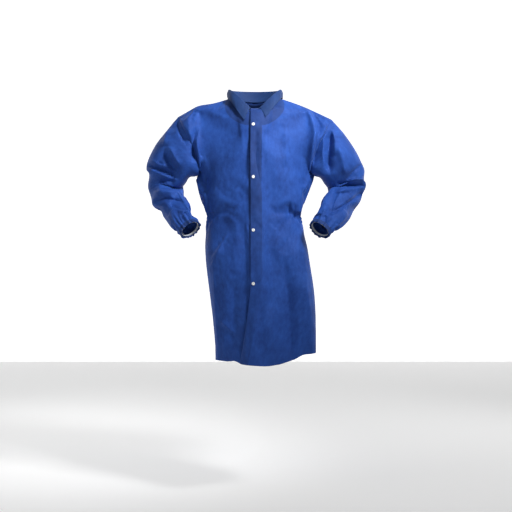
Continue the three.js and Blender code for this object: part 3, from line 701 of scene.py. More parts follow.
def spunbond_group():
    """Fibre clouds as a shade from 0 to 1, and the height of bonds and fibres."""
    g = bpy.data.node_groups.new("spunbond", "ShaderNodeTree")
    g.interface.new_socket("Place", in_out="INPUT", socket_type="NodeSocketVector")
    g.interface.new_socket("Shade", in_out="OUTPUT", socket_type="NodeSocketFloat")
    g.interface.new_socket("Height", in_out="OUTPUT", socket_type="NodeSocketFloat")
    gi, go = g.nodes.new("NodeGroupInput"), g.nodes.new("NodeGroupOutput")
    place = gi.outputs["Place"]

    def noise(scale, detail, rough, lean=None):
        n = g.nodes.new("ShaderNodeTexNoise")
        n.inputs["Scale"].default_value = scale
        n.inputs["Detail"].default_value = detail
        n.inputs["Roughness"].default_value = rough
        if lean:
            m = g.nodes.new("ShaderNodeMapping")
            m.inputs["Scale"].default_value = lean
            link(g, place, m.inputs["Vector"])
            link(g, m.outputs[0], n.inputs["Vector"])
        else:
            link(g, place, n.inputs["Vector"])
        return n.outputs["Fac"]

    cloud = noise(14.0, 4.0, 0.55)
    patch = noise(75.0, 4.0, 0.65, (1.0, 0.55, 1.0))
    fibre = noise(900.0, 3.0, 0.7, (1.0, 0.35, 1.0))
    shade = math_node(g, "MULTIPLY_ADD", cloud, 0.50, 0.0)
    shade = math_node(g, "MULTIPLY_ADD", patch, 0.38, shade)
    shade = math_node(g, "MULTIPLY_ADD", fibre, 0.12, shade)
    link(g, shade, go.inputs["Shade"])
    split = g.nodes.new("ShaderNodeSeparateXYZ")
    link(g, place, split.inputs[0])
    pitch = 2 * math.pi / 0.0022
    su = math_node(g, "SINE", math_node(g, "MULTIPLY", split.outputs[0], pitch))
    sv = math_node(g, "SINE", math_node(g, "MULTIPLY", split.outputs[1], pitch))
    bond = math_node(g, "MAXIMUM", math_node(g, "MULTIPLY", su, sv), 0.35)
    height = math_node(g, "MULTIPLY_ADD", bond, -0.00006, math_node(g, "MULTIPLY", fibre, 0.00008))
    height = math_node(g, "MULTIPLY_ADD", patch, 0.0005, height)
    link(g, height, go.inputs["Height"])
    return g


SPUNBOND = spunbond_group()


def cloth_material(name, deep, light, front=None):
    """Spunbond between two tones; front is where the neck's middle lies on a front's own cloth, and brings
    painted shade over its doubled parts.
    """
    m = bpy.data.materials.new(name)
    m.use_nodes = True
    t = m.node_tree
    shader = t.nodes["Principled BSDF"]
    uv = t.nodes.new("ShaderNodeUVMap")
    uv.uv_map = "cut"
    spun = t.nodes.new("ShaderNodeGroup")
    spun.node_tree = SPUNBOND
    link(t, uv.outputs[0], spun.inputs["Place"])
    ramp = t.nodes.new("ShaderNodeValToRGB")
    ramp.color_ramp.elements[0].position, ramp.color_ramp.elements[1].position = 0.36, 0.64
    ramp.color_ramp.elements[0].color = (*deep, 1)
    ramp.color_ramp.elements[1].color = (*light, 1)
    link(t, spun.outputs["Shade"], ramp.inputs["Fac"])
    colour = ramp.outputs["Color"]
    if front:
        # a front: painted shade over the facing strip along its edge and the crescent round the neck, where
        # the cloth is doubled
        split = t.nodes.new("ShaderNodeSeparateXYZ")
        link(t, uv.outputs[0], split.inputs[0])
        u, v = split.outputs[0], split.outputs[1]
        strip = t.nodes.new("ShaderNodeMapRange")
        strip.interpolation_type = "SMOOTHSTEP"
        strip.inputs["From Min"].default_value = FACING + 0.0015
        strip.inputs["From Max"].default_value = FACING - 0.0015
        link(t, u, strip.inputs["Value"])
        dx = math_node(t, "SUBTRACT", u, front)
        dz = math_node(t, "MULTIPLY", math_node(t, "SUBTRACT", v, 1.040), 1.06)
        dx_squared = math_node(t, "MULTIPLY", dx, dx)
        dz_squared = math_node(t, "MULTIPLY", dz, dz)
        far = math_node(t, "SQRT", math_node(t, "ADD", dx_squared, dz_squared))
        neck = t.nodes.new("ShaderNodeMapRange")
        neck.interpolation_type = "SMOOTHSTEP"
        neck.inputs["From Min"].default_value = 0.1545
        neck.inputs["From Max"].default_value = 0.1505
        link(t, far, neck.inputs["Value"])
        both = math_node(t, "MAXIMUM", strip.outputs[0], neck.outputs[0])
        # painted shade: the cloth's colour multiplied darker over the doubled parts
        painted_shade = t.nodes.new("ShaderNodeMix")
        painted_shade.data_type = "RGBA"
        painted_shade.blend_type = "MULTIPLY"
        # the painted shade is weaker towards the strip's lower end, which hangs free of the layers below
        height = t.nodes.new("ShaderNodeMapRange")
        height.inputs["From Min"].default_value = 0.30
        height.inputs["From Max"].default_value = 0.62
        height.inputs["To Min"].default_value = 0.22
        height.inputs["To Max"].default_value = 0.9
        link(t, v, height.inputs["Value"])
        link(t, math_node(t, "MULTIPLY", both, height.outputs[0]), painted_shade.inputs["Factor"])
        link(t, colour, painted_shade.inputs["A"])
        painted_shade.inputs["B"].default_value = (0.78, 0.60, 0.56, 1)
        colour = painted_shade.outputs["Result"]
    link(t, colour, shader.inputs["Base Color"])
    bump = t.nodes.new("ShaderNodeBump")
    bump.inputs["Strength"].default_value = 0.55
    bump.inputs["Distance"].default_value = 1.0
    link(t, spun.outputs["Height"], bump.inputs["Height"])
    link(t, bump.outputs[0], shader.inputs["Normal"])
    shader.inputs["Roughness"].default_value = 0.72
    shader.inputs["Specular IOR Level"].default_value = 0.22
    shader.inputs["Sheen Weight"].default_value = 0.05
    shader.inputs["Sheen Roughness"].default_value = 0.45
    shader.inputs["Sheen Tint"].default_value = (0.55, 0.75, 1.0, 1)
    return m


DEEP, LIGHT = (0.0080, 0.040, 0.210), (0.0185, 0.080, 0.365)
cloth_back = cloth_material("spunbond", DEEP, LIGHT)
cloth_left = cloth_material("spunbond, left front", DEEP, LIGHT, front=0.017)
cloth_right = cloth_material("spunbond, right front", DEEP, LIGHT, front=0.020)
# the second layer: the same spunbond in darker tones, painted shade of the doubled cloth on the facings, neck
# pieces and cuffs
cloth_double_shaded = cloth_material("spunbond, second layer, painted shade", (0.0075, 0.026, 0.120), (0.015, 0.048, 0.200))


CREASES = 26


def crumple(uv, size, seed):
    """A few long soft creases in the cloth, metres in, metres out."""
    rng = np.random.default_rng(seed)
    h = np.zeros(uv.shape[:-1])
    for _ in range(CREASES):
        a = rng.uniform(0, math.pi)
        wave = rng.uniform(0.035, 0.12)
        k = 2 * math.pi / wave
        along = uv[..., 0] * math.cos(a) + uv[..., 1] * math.sin(a)
        across = -uv[..., 0] * math.sin(a) + uv[..., 1] * math.cos(a)
        phase = rng.uniform(0, 6.28, 3)
        fade = 0.5 + 0.5 * np.sin(across * k * 0.23 + phase[1]) * np.sin(along * k * 0.11 + phase[2])
        bent = along * k / 2 + phase[0] + 0.8 * np.sin(across * k * 0.3)
        h += (1 - 2 * np.abs(np.sin(bent))) * fade**2 * wave
    return h / CREASES * size * 18


def outward(g, wrap=False):
    """The direction square to a grid at each point."""
    if wrap:
        du = np.roll(g, -1, 1) - np.roll(g, 1, 1)
    else:
        du = np.gradient(g, axis=1)
    n = np.cross(du, np.gradient(g, axis=0))
    return n / np.maximum(np.linalg.norm(n, axis=-1, keepdims=True), 1e-12)


def cloth_sheet(name, g, uv, material, flip=False, wrap=False, thick=0.0007):
    """One piece of cloth from a grid of points, given its thickness towards the inside."""
    rows, cols = g.shape[:2]
    idx = np.arange(rows * cols).reshape(rows, cols)
    right = np.roll(idx, -1, 1) if wrap else idx[:, 1:]
    left = idx if wrap else idx[:, :-1]
    quads = np.stack([left[:-1], right[:-1], right[1:], left[1:]], -1).reshape(-1, 4)
    if flip:
        quads = quads[:, ::-1]
    mesh = bpy.data.meshes.new(name)
    mesh.from_pydata(g.reshape(-1, 3).tolist(), [], quads.tolist())
    layer = mesh.uv_layers.new(name="cut")
    corner = np.zeros(len(mesh.loops), int)
    mesh.loops.foreach_get("vertex_index", corner)
    flat_uv = uv.reshape(-1, 2)[corner]
    if wrap:
        # the last column of faces closes the tube, so its far corners carry on past the seam
        girth = uv[0, -1, 0] + (uv[0, 1, 0] - uv[0, 0, 0])
        faces_at = flat_uv.reshape(-1, 4, 2)
        closing = np.ptp(faces_at[:, :, 0], axis=1) > girth / 2
        low = faces_at[:, :, 0] < girth / 2
        faces_at[:, :, 0] += np.where(closing[:, None] & low, girth, 0)
        flat_uv = faces_at.reshape(-1, 2)
    layer.data.foreach_set("uv", flat_uv.ravel())
    obj = bpy.data.objects.new(name, mesh)
    bpy.context.scene.collection.objects.link(obj)
    mesh.materials.append(material)
    mesh.shade_smooth()
    bpy.ops.object.select_all(action="DESELECT")
    bpy.context.view_layer.objects.active = obj
    obj.select_set(True)
    solid = obj.modifiers.new("thickness", "SOLIDIFY")
    solid.thickness, solid.offset = thick, -1
    bpy.ops.object.modifier_apply(modifier=solid.name)
    return obj


def running(g, axis):
    """How far along the cloth each point lies from the first one on that axis."""
    step = np.linalg.norm(np.diff(g, axis=axis), axis=-1)
    return np.concatenate([np.zeros_like(np.take(step, [0], axis)), np.cumsum(step, axis)], axis)


def area_of(g, wrap=False):
    """Square metres of cloth in a grid."""
    h = np.concatenate([g, g[:, :1]], 1) if wrap else g
    a, b, c, d = h[:-1, :-1], h[:-1, 1:], h[1:, 1:], h[1:, :-1]
    first = np.linalg.norm(np.cross(b - a, c - a), axis=-1)
    second = np.linalg.norm(np.cross(c - a, d - a), axis=-1)
    return 0.5 * float((first + second).sum())


def follow_front(obj):
    """The piece with its placement baked into its mesh."""
    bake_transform(obj)


front_fine, front_uv = {}, {}
for word, s, material, seed in (("left", 1, cloth_left, 3), ("right", -1, cloth_right, 5)):
    g = settled_grid(word)
    base = finer(grids[word], FINE)
    across = running(base[..., :2], 1)
    uv = np.stack([across, base[..., 2]], -1)
    normal = outward(g) * s
    from_side = across[:, -1:] - across
    ease = smooth(across / 0.06) * smooth(from_side / 0.03)
    g = g + normal * (crumple(uv, 0.0014, seed) * ease)[..., None]
    front_fine[word], front_uv[word] = g, uv
    front = cloth_sheet(f"{word}_front", g, uv, material, flip=s < 0)
    follow_front(front)
    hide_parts(f"{word}_front_side", f"{word}_front_flap")
    area = area_of(g)

# ------------------------------------------------------------------------------------------------
# The back. One piece, cut without a centre seam, sewn to the fronts at the sides and shoulders.
# ------------------------------------------------------------------------------------------------
g = settled_grid("back", 2)
base = finer(grids["back"], 2)
across = running(base[..., :2], 1)
back_uv = np.stack([across - across[:, -1:] / 2 + 0.5, base[..., 2]], -1)
from_side = np.minimum(across, across[:, -1:] - across)
g = g - outward(g) * (crumple(back_uv, 0.0014, 11) * smooth(from_side / 0.03))[..., None]
back_fine = g
back = cloth_sheet("back", g, back_uv, cloth_back, flip=True)
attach(back, "coat")
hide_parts("back_panel")
area = area_of(g)

# ------------------------------------------------------------------------------------------------
# The sleeves. Each is one tube of cloth, set in at a dropped shoulder and crushed at the bent
# elbow.
# ------------------------------------------------------------------------------------------------
GATHER_FROM = 0.86  # share of the sleeve's length where the wrist's gathers begin
RUFFLES = 14
SPLIT = 30  # the sleeve's own row where the shoulder's bend has ended and the elbow's begins


def wrist_gathers(rows, cols, seed):
    """How far each point stands out from the smooth wrist: small pleats that fade up the sleeve."""
    rng = np.random.default_rng(seed)
    a = 2 * np.pi * np.arange(cols)[None, :] / cols
    r = np.linspace(0, 1, rows)[:, None]
    drift = 0.9 * np.sin(2 * a + rng.uniform(0, 6)) + 0.6 * np.sin(3 * a + rng.uniform(0, 6))
    tall = 0.65 + 0.35 * np.sin(5 * a + rng.uniform(0, 6))
    pleat = np.cos(RUFFLES * a + drift * 2.2 + 1.5 * r)
    ramp = smooth((r - GATHER_FROM) / (1 - GATHER_FROM))
    half = np.cos(RUFFLES / 3 * a + drift) * smooth((r - 0.72) / 0.2) * (1 - 0.7 * ramp)
    return (0.0034 * ramp * tall * pleat + 0.003 * half) * np.ones((rows, 1))


sleeve_fine = {}
for word, s, seed in (("left", 1, 21), ("right", -1, 22)):
    g = settled_grid(word + "_sleeve")
    rows, cols = g.shape[:2]
    around = running(g, 1)
    down = np.linspace(0, length[-1], rows)[:, None] + 0 * around
    uv = np.stack([around, down], -1)
    normal = outward(g, wrap=True) * (-s)
    mid = g.mean(1, keepdims=True)
    sign = np.sign(((g - mid) * normal).sum(-1).mean())
    normal = normal * sign
    loose = smooth(np.linspace(0, 1, rows) / 0.08)[:, None]
    periodic = np.stack([0.08 * np.cos(2 * np.pi * np.arange(cols) / cols)[None] + 0 * around, down], -1)
    g = g + normal * (crumple(periodic, 0.0016, seed) * loose + wrist_gathers(rows, cols, seed))[..., None]
    sleeve_fine[word] = (g, uv, normal)
    cut = SPLIT * FINE
    flip = bool(sign * -s < 0)
    top = cloth_sheet(f"{word}_sleeve_top", g[: cut + 1], uv[: cut + 1], cloth_back, flip=flip, wrap=True)
    low = cloth_sheet(f"{word}_sleeve_low", g[cut:], uv[cut:], cloth_back, flip=flip, wrap=True)
    mirror = np.array([s, 1, 1])
    shift = (0, FRAME_Y, 0)
    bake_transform(top)
    bend = unit(np.array([0.14, -0.18, -0.97]))
    lower_ring = grids[word + "_sleeve"][int(0.90 * SLEEVE_ROWS)] * mirror @ bend
    elbow = np.array([0.366, 0.044, 0.705])
    end = (elbow + bend * (lower_ring.min() - elbow @ bend)) * mirror + shift
    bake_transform(low)
    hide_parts(f"{word}_sleeve_head", f"{word}_sleeve_upper")
    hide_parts(f"{word}_sleeve_elbow", f"{word}_sleeve_lower")
    for piece, part in ((top, g[: cut + 1]), (low, g[cut:])):
        area = area_of(part, wrap=True)
        long = float(np.linalg.norm(np.diff(part, axis=0), axis=-1).sum(0).max())
        flat = (round(area / long * 1.12, 3), round(long, 3))

# ------------------------------------------------------------------------------------------------
# The wrists. The sleeve's end is turned up over a narrow elastic and stitched; the elastic shows
# as a pale line inside the gathers.
# ------------------------------------------------------------------------------------------------
def plain_material(name, colour, rough, sheen=0.0, spec=0.5):
    """One even colour and finish."""
    m = bpy.data.materials.new(name)
    m.use_nodes = True
    p = m.node_tree.nodes["Principled BSDF"]
    p.inputs["Base Color"].default_value = (*colour, 1)
    p.inputs["Roughness"].default_value = rough
    p.inputs["Specular IOR Level"].default_value = spec
    p.inputs["Sheen Weight"].default_value = sheen
    return m


elastic_white = plain_material("elastic", (0.46, 0.50, 0.56), 0.7, 0.3, 0.3)
for word, s in (("left", 1), ("right", -1)):
    g, uv, normal = sleeve_fine[word]
    end, before = g[-1], g[-5]
    along = unit((end - before).mean(0))
    cols = len(end)
    mid = end.mean(0)
    a = 2 * np.pi * np.arange(cols) / cols
    # the casing: over the end of the sleeve, round the edge and back up inside, each point as
    # how far along the arm and how far out
    profile = [
        (-0.0005, 0.0004),
        (0.004, 0.0016),
        (0.009, 0.0019),
        (0.0135, 0.0013),
        (0.0162, 0.0),
        (0.0150, -0.0016),
        (0.010, -0.0026),
        (0.003, -0.0028),
    ]
    ruffle = 0.5 * np.cos(RUFFLES * 2 * a)
    rings = []
    for k, (d, out) in enumerate(profile):
        flare = 0.0003 * np.sin(RUFFLES * a + 0.6) * k / 5
        rings.append(end + along * (d + 0.0003 * ruffle[:, None]) + normal[-1] * (out + flare)[:, None])
    rings = np.array(rings)
    rings = cubic(rings, 3, 0)
    around = running(rings, 1)
    down = np.linspace(0, 0.034, len(rings))[:, None] + 0 * around
    flip = bool(np.dot(np.cross(rings[0, 1] - rings[0, 0], rings[4, 0] - rings[0, 0]), normal[-1, 0]) < 0)
    uv = np.stack([around, down], -1)
    casing = cloth_sheet(f"{word}_cuff", rings, uv, cloth_double_shaded, flip=flip, wrap=True, thick=0.0006)
    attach(casing, f"{word}_lower_sleeve")
    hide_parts(f"{word}_cuff_casing")
    area = area_of(rings, wrap=True)
    # the elastic: a narrow band lying inside the casing
    radial = end - mid
    radial = radial - along * (radial @ along)[:, None]
    smooth_r = np.linalg.norm(radial, axis=1, keepdims=True)
    even = radial / smooth_r * (np.fft.irfft(np.fft.rfft(smooth_r[:, 0])[:4], cols)[:, None] - 0.0058)
    band = []
    for d, out in ((0.0035, 0.0), (0.0055, 0.0006), (0.0095, 0.0006), (0.0115, 0.0)):
        band.append(mid + even + along * d + radial / smooth_r * out)
    band = cubic(np.array(band), 2, 0)
    flip = bool(np.dot(np.cross(band[0, 1] - band[0, 0], band[4, 0] - band[0, 0]), radial[0]) < 0)
    around = around[: len(band)]
    uv = np.stack([around, np.linspace(0, 0.008, len(band))[:, None] + 0 * around], -1)
    elastic = cloth_sheet(f"{word}_elastic", band, uv, elastic_white, flip=flip, wrap=True, thick=0.0009)
    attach(elastic, f"{word}_lower_sleeve")
    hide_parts(f"{word}_cuff_elastic")

# ------------------------------------------------------------------------------------------------
# The facings. A strip doubles each front edge and widens into a crescent round the neck; a second
# crescent doubles the back neck. They lie against the inside and stiffen the edge.
# ------------------------------------------------------------------------------------------------
def sample(g, i, j):
    """Grid points at fractional rows and columns."""
    i, j = np.clip(i, 0, g.shape[0] - 1.001), np.clip(j, 0, g.shape[1] - 1.001)
    i0, j0 = np.floor(i).astype(int), np.floor(j).astype(int)
    fi, fj = (i - i0)[..., None], (j - j0)[..., None]
    near = g[i0, j0] * (1 - fi) + g[i0 + 1, j0] * fi
    far = g[i0, j0 + 1] * (1 - fi) + g[i0 + 1, j0 + 1] * fi
    return near * (1 - fj) + far * fj


def row_of(x, z, back):
    """The drape's row (fractional) at a point of the body above the underarm."""
    up = np.clip((z - CHEST_Z) / (top_z(x, back) - CHEST_Z), 0.0005, 0.9995)
    return ROWS_LOW + np.interp(up, row_up[ROWS_LOW:], np.arange(ROWS_HIGH + 1)), up


def neck_crescent(s, back, fine_g, fine, depth, x_from):
    """A grid over the crescent: round the neck, and down from the neckline."""
    a = np.linspace(x_from, math.pi / 2 - 0.03, 40)[None, :]
    d = np.linspace(0, 1, 14)[:, None]
    x0 = NECK_HALF * np.sin(a) + 0 * d
    z0 = top_z(x0, back)
    x1 = (NECK_HALF + depth) * np.sin(a)
    z1 = COAT_LENGTH - (COAT_LENGTH - (NECK_BACK_Z if back else NECK_FRONT_Z) + depth) * np.cos(a)
    x = x0 + (x1 - x0) * d
    z = np.minimum(z0 + (z1 - z0) * d, top_z(x, back) - 0.0004)
    i, up = row_of(x, z, back)
    half = CHEST_HALF + (SHOULDER_HALF - CHEST_HALF) * up
    q = x / half
    if back:
        qs = np.sin(t_back * math.pi / 2)
        j = np.interp(s * q, qs, np.arange(len(qs)))
    else:
        table = front_q(s)[-6]
        j = np.interp(q, s * table, np.arange(len(table)))
    return sample(fine_g, i * fine, j * fine), x, z


for word, s in (("left", 1), ("right", -1)):
    g = front_fine[word]
    inner = g - outward(g) * s * 0.0015
    cols = STRIP * FINE + 1
    strip = inner[: -2 * FINE, :cols].copy()
    strip[:, 0] += (strip[:, 1] - strip[:, 0]) * 0.5
    uv = front_uv[word][: -2 * FINE, :cols]
    facing = cloth_sheet(f"{word}_facing", strip, uv, cloth_double_shaded, flip=s < 0, thick=0.0006)
    follow_front(facing)
    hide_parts(f"{word}_front_facing")
    crescent, x, z = neck_crescent(s, False, inner, FINE, 0.078, 0.36)
    uv = np.stack([x, z], -1)
    neck = cloth_sheet(f"{word}_neck_piece", crescent, uv, cloth_double_shaded, flip=s > 0, thick=0.0006)
    follow_front(neck)
    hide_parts(f"{word}_neck_facing")
    area = area_of(crescent)

inner = back_fine + outward(back_fine) * 0.0015
halves = [neck_crescent(s, True, inner, 2, 0.078, 0.0)[0] for s in (1, -1)]
crescent = np.concatenate([halves[1][:, ::-1], halves[0][:, 1:]], 1)
u = np.linspace(0, 0.40, crescent.shape[1])[None, :] + 0 * np.linspace(0, 1, crescent.shape[0])[:, None]
v = np.linspace(0, 0.078, crescent.shape[0])[:, None] + 0 * u
piece = cloth_sheet("back_neck_piece", crescent, np.stack([u, v], -1), cloth_double_shaded, flip=False, thick=0.0006)
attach(piece, "coat")
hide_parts("back_neck_facing")
area = area_of(crescent)

# ------------------------------------------------------------------------------------------------
# The collar. One piece of double cloth: it stands up from the neckline, rolls over and lies down
# outside, with a line of stitching pressed in near its edge. Its two front leaves are pieces of their
# own and its back stays with the coat.
# ------------------------------------------------------------------------------------------------
# the collar's cloth: the same spunbond in darker tones still, painted shade of the doubled cloth
cloth_collar_shaded = cloth_material("spunbond, collar, painted shade", (0.0064, 0.0250, 0.102), (0.0118, 0.0440, 0.162))


def collar_curves(k, s, end_x):
    """Seam, roll line and leaf edge of the collar at step k, 0 at the front, 1 at the side, 2 at the back."""
    f, b = min(k, 1.0), max(k - 1.0, 0.0)
    sn, c = math.sin(f * math.pi / 2), math.cos(f * math.pi / 2)
    if k <= 1:
        x = end_x + (NECK_HALF - end_x) * sn
        dip = 0.010 * math.exp(-((x / 0.036) ** 2))
        seam = np.array([x, float(top_y(x, False)), float(top_z(x, False)) + 0.001 - dip])
        xr = end_x + 0.004 + (0.0965 - end_x) * sn
        roll = np.array([xr, NECK_SIDE_Y - 0.109 * c, 0.964 + 0.084 * ((xr - 0.0175) / 0.083)])
        tip_z = 0.916 if s < 0 else 0.929
        xe = 0.0395 + 0.0655 * math.sin(f * math.pi / 2) ** 0.9
        ze = tip_z + (1.018 - tip_z) * ((xe - 0.0395) / 0.0655) ** 1.08
        edge = np.array([xe, NECK_SIDE_Y - 0.120 * c**0.8, ze])
        return seam, roll, edge
    sn, c = math.cos(b * math.pi / 2), math.sin(b * math.pi / 2)
    x = NECK_HALF * sn
    seam = np.array([x, float(top_y(x, True)), float(top_z(x, True)) + 0.001])
    roll = np.array([0.1005 * sn, NECK_SIDE_Y + 0.074 * c, 1.0483 + 0.004 * c])
    edge = np.array([0.105 * sn, NECK_SIDE_Y + 0.090 * c, 1.018 - 0.018 * float(smooth(b))])
    return seam, roll, edge


def surface_y(x, z, s):
    """Depth of the front at a place, on the worn shape."""
    i, up = row_of(np.array(x), np.array(min(z, 1.02)), False)
    half = CHEST_HALF + (SHOULDER_HALF - CHEST_HALF) * up
    table = front_q(s)[-6]
    j = np.interp(x / half, s * table, np.arange(len(table)))
    word = "left" if s > 0 else "right"
    return float(sample(front_fine[word], i * FINE, j * FINE)[1])


SIDE_ROW = 63  # the row where the front leaf ends and the back of the collar begins


def collar_piece(name, g, uv, flip, *nodes):
    """One length of the collar in the collar's cloth, with its model parts hidden."""
    piece = cloth_sheet(name, g, uv, cloth_collar_shaded, flip=flip, thick=0.0014)
    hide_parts(*nodes)
    return piece


collar_halves = {}
for word, s, first_x in (("left", 1, 0.013), ("right", -1, 0.0135)):
    rows = []
    for k in range(61):
        seam, roll, edge = collar_curves(2 * (k / 60) ** 1.2, s, first_x)
        out = edge - seam
        out[2] = 0
        out = unit(out)
        if seam[1] < 0.0:
            seam[1] = surface_y(seam[0], seam[2] - 0.002, s) - FRAME_Y - 0.0015
        if edge[1] < 0.0 and edge[2] < 1.0:
            edge[1] = min(edge[1], surface_y(edge[0], edge[2], s) - FRAME_Y - 0.0035)
        inner_roll, outer_roll = roll - out * 0.0022, roll + out * 0.0026
        top = roll + (0, 0, 0.0022)
        stand = (seam + inner_roll) / 2 + out * 0.0015
        leaf1 = outer_roll * 0.66 + edge * 0.34 + out * 0.0032
        leaf2 = outer_roll * 0.33 + edge * 0.67 + out * 0.0026
        wave = 0.0012 * math.sin(k * 0.37 + s) * float(smooth(k / 10))
        edge = edge + out * wave
        line = np.array([seam, stand, inner_roll, top, outer_roll, leaf1, leaf2, edge])
        rows.append(cubic(line, 5, 0))
    g = np.array(rows) * np.array([s, 1, 1]) + (0, FRAME_Y, 0)
    g = cubic(g, 2, 0)
    n = outward(g)
    u, v = running(g, 1), running(g, 0)
    from_edge = np.minimum(u[:, -1:] - u, v + 0 * u)
    groove = -0.0005 * np.exp(-(((from_edge - 0.0055) / 0.0011) ** 2))
    puff = 0.0004 * smooth(from_edge / 0.003) * smooth((0.010 - from_edge) / 0.004)
    facing = np.sign((n[30, -3] @ (g[30, -3] - np.array([0, FRAME_Y, g[30, -3, 2]]))))
    outer = g + n * facing * (groove + puff)[..., None]
    flip = bool(facing > 0)
    uv = np.stack([v, u], -1)
    in_front = slice(0, SIDE_ROW + 1)
    leaf = collar_piece(f"{word}_collar", outer[in_front], uv[in_front], flip, f"{word}_collar_front")
    follow_front(leaf)
    collar_halves[word] = (outer[SIDE_ROW:], uv[SIDE_ROW:], flip)

(g_left, uv_left, flip), (g_right, uv_right, _) = collar_halves["left"], collar_halves["right"]
middle = (g_left[-1:] + g_right[-1:]) / 2
g = np.concatenate([g_left[:-1], middle, g_right[:-1][::-1]])
run = uv_left[-1:, :, :1]
uv_right = np.concatenate([2 * run - uv_right[:-1, :, :1], uv_right[:-1, :, 1:]], -1)
uv_back = np.concatenate([uv_left, uv_right[::-1]])
back_collar = collar_piece("back_collar", g, uv_back, flip, "collar_back")
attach(back_collar, "coat")

# ------------------------------------------------------------------------------------------------
# The snaps. Four moulded white press snaps: a domed cap outside with its socket behind the upper
# front, and a stud outside the under front held by a flat plate behind it.
# ------------------------------------------------------------------------------------------------
snap_white = plain_material("snap plastic", (0.80, 0.81, 0.81), 0.28, 0.0, 0.5)


def fresh():
    """Nothing selected."""
    bpy.ops.object.select_all(action="DESELECT")


def pick_faces(obj, test):
    """Select the faces of the piece being edited by their centre and normal."""
    bpy.ops.mesh.select_mode(type="FACE")
    bpy.ops.mesh.select_all(action="DESELECT")
    bm = bmesh.from_edit_mesh(obj.data)
    for f in bm.faces:
        f.select_set(bool(test(f.calc_center_median(), f.normal)))
    bmesh.update_edit_mesh(obj.data)


def disc(name, radius, thick):
    """A flat disc standing on height 0, ready to be edited."""
    fresh()
    middle = (0, 0, thick / 2)
    bpy.ops.mesh.primitive_cylinder_add(vertices=40, radius=radius, depth=thick, location=middle)
    obj = bpy.context.object
    obj.name = name
    bpy.ops.object.transform_apply(location=True, rotation=True, scale=True)
    bpy.ops.object.mode_set(mode="EDIT")
    return obj


def finish_disc(obj, bevel):
    """The disc with its edges rounded and its plastic on."""
    bpy.ops.object.mode_set(mode="OBJECT")
    edge = obj.modifiers.new("edge", "BEVEL")
    edge.width = bevel
    edge.segments = 3
    edge.limit_method = "ANGLE"
    edge.angle_limit = math.radians(35)
    bpy.ops.object.modifier_apply(modifier=edge.name)
    bpy.ops.object.shade_smooth_by_angle(angle=math.radians(50))
    obj.data.materials.append(snap_white)
    return obj


# the cap: a low dome with a shallow dished centre and its pin behind
cap = disc("snap_cap", 0.0060, 0.0011)
pick_faces(cap, lambda c, n: n.z > 0.9)
bpy.ops.mesh.inset(thickness=0.0012)
bpy.ops.transform.translate(value=(0, 0, 0.0005))
bpy.ops.mesh.inset(thickness=0.0020)
bpy.ops.transform.translate(value=(0, 0, 0.0001))
bpy.ops.mesh.inset(thickness=0.0006)
bpy.ops.transform.translate(value=(0, 0, -0.0005))
pick_faces(cap, lambda c, n: n.z < -0.9)
bpy.ops.mesh.inset(thickness=0.0048)
bpy.ops.mesh.extrude_region_move(TRANSFORM_OT_translate={"value": (0, 0, -0.0026)})
cap = finish_disc(cap, 0.00022)

# the socket: a ring with a deep round well
socket = disc("snap_socket", 0.0048, 0.0022)
pick_faces(socket, lambda c, n: n.z > 0.9)
bpy.ops.mesh.inset(thickness=0.0012)
bpy.ops.transform.translate(value=(0, 0, 0.0002))
bpy.ops.mesh.inset(thickness=0.0008)
bpy.ops.mesh.extrude_region_move(TRANSFORM_OT_translate={"value": (0, 0, -0.0016)})
socket = finish_disc(socket, 0.00016)

# the stud: a base with a waisted knob
stud = disc("snap_stud", 0.0048, 0.0008)
pick_faces(stud, lambda c, n: n.z > 0.9)
bpy.ops.mesh.inset(thickness=0.0031)
bpy.ops.mesh.extrude_region_move(TRANSFORM_OT_translate={"value": (0, 0, 0.0007)})
bpy.ops.mesh.extrude_region_move(TRANSFORM_OT_translate={"value": (0, 0, 0.0004)})
bpy.ops.transform.resize(value=(1.14, 1.14, 1))
bpy.ops.mesh.extrude_region_move(TRANSFORM_OT_translate={"value": (0, 0, 0.0003)})
bpy.ops.transform.resize(value=(0.8, 0.8, 1))
stud = finish_disc(stud, 0.00012)

# the plate behind the under facing
plate = disc("snap_plate", 0.0056, 0.0011)
pick_faces(plate, lambda c, n: n.z > 0.9)
bpy.ops.mesh.inset(thickness=0.0010)
bpy.ops.transform.translate(value=(0, 0, 0.0003))
bpy.ops.mesh.inset(thickness=0.0014)
bpy.ops.transform.translate(value=(0, 0, -0.0002))
plate = finish_disc(plate, 0.00020)


def set_snap(model, name, at, out, body_word, node):
    """A copy of a snap part, its own mesh turned to the cloth and moved to its place."""
    piece = bpy.data.objects.new(name, model.data.copy())
    bpy.context.scene.collection.objects.link(piece)
    turn_to = Vector(out).to_track_quat("Z", "Y").to_matrix().to_4x4()
    turn_to.translation = Vector(at)
    piece.data.transform(turn_to)
    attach(piece, body_word)
    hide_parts(node)


for k, h in enumerate(SNAP_HEIGHTS):
    spots = {}
    for word, s in (("left", 1), ("right", -1)):
        g = front_fine[word]
        flat_g = grids[word]
        far = np.hypot(flat_g[..., 0] + 0.001, flat_g[..., 2] - h)
        near = np.unravel_index(np.argmin(far), far.shape)
        i, j = near[0] * FINE, near[1] * FINE
        n = outward(g) * s
        spots[word] = (g[i, j], unit(n[i - 2 : i + 3, max(0, j - 2) : j + 3].mean((0, 1))))
    at, out = spots["left"]
    under, under_out = spots["right"]
    parts = (
        (cap, "cap", "cap", at + out * 0.0001, out, "left_front"),
        (socket, "socket", "socket", at - out * 0.0022, -out, "left_front"),
        (stud, "stud", "stud", under + under_out * 0.0001, under_out, "right_front"),
        (plate, "plate", "post", under - under_out * 0.0022, -under_out, "right_front"),
    )
    for model, word, node, place, facing_way, body_word in parts:
        name = f"snap_{word}_{k + 1}_part"
        set_snap(model, name, place, facing_way, body_word, f"snap_{node}_{k + 1}")
for model in (cap, socket, stud, plate):
    bpy.data.objects.remove(model)

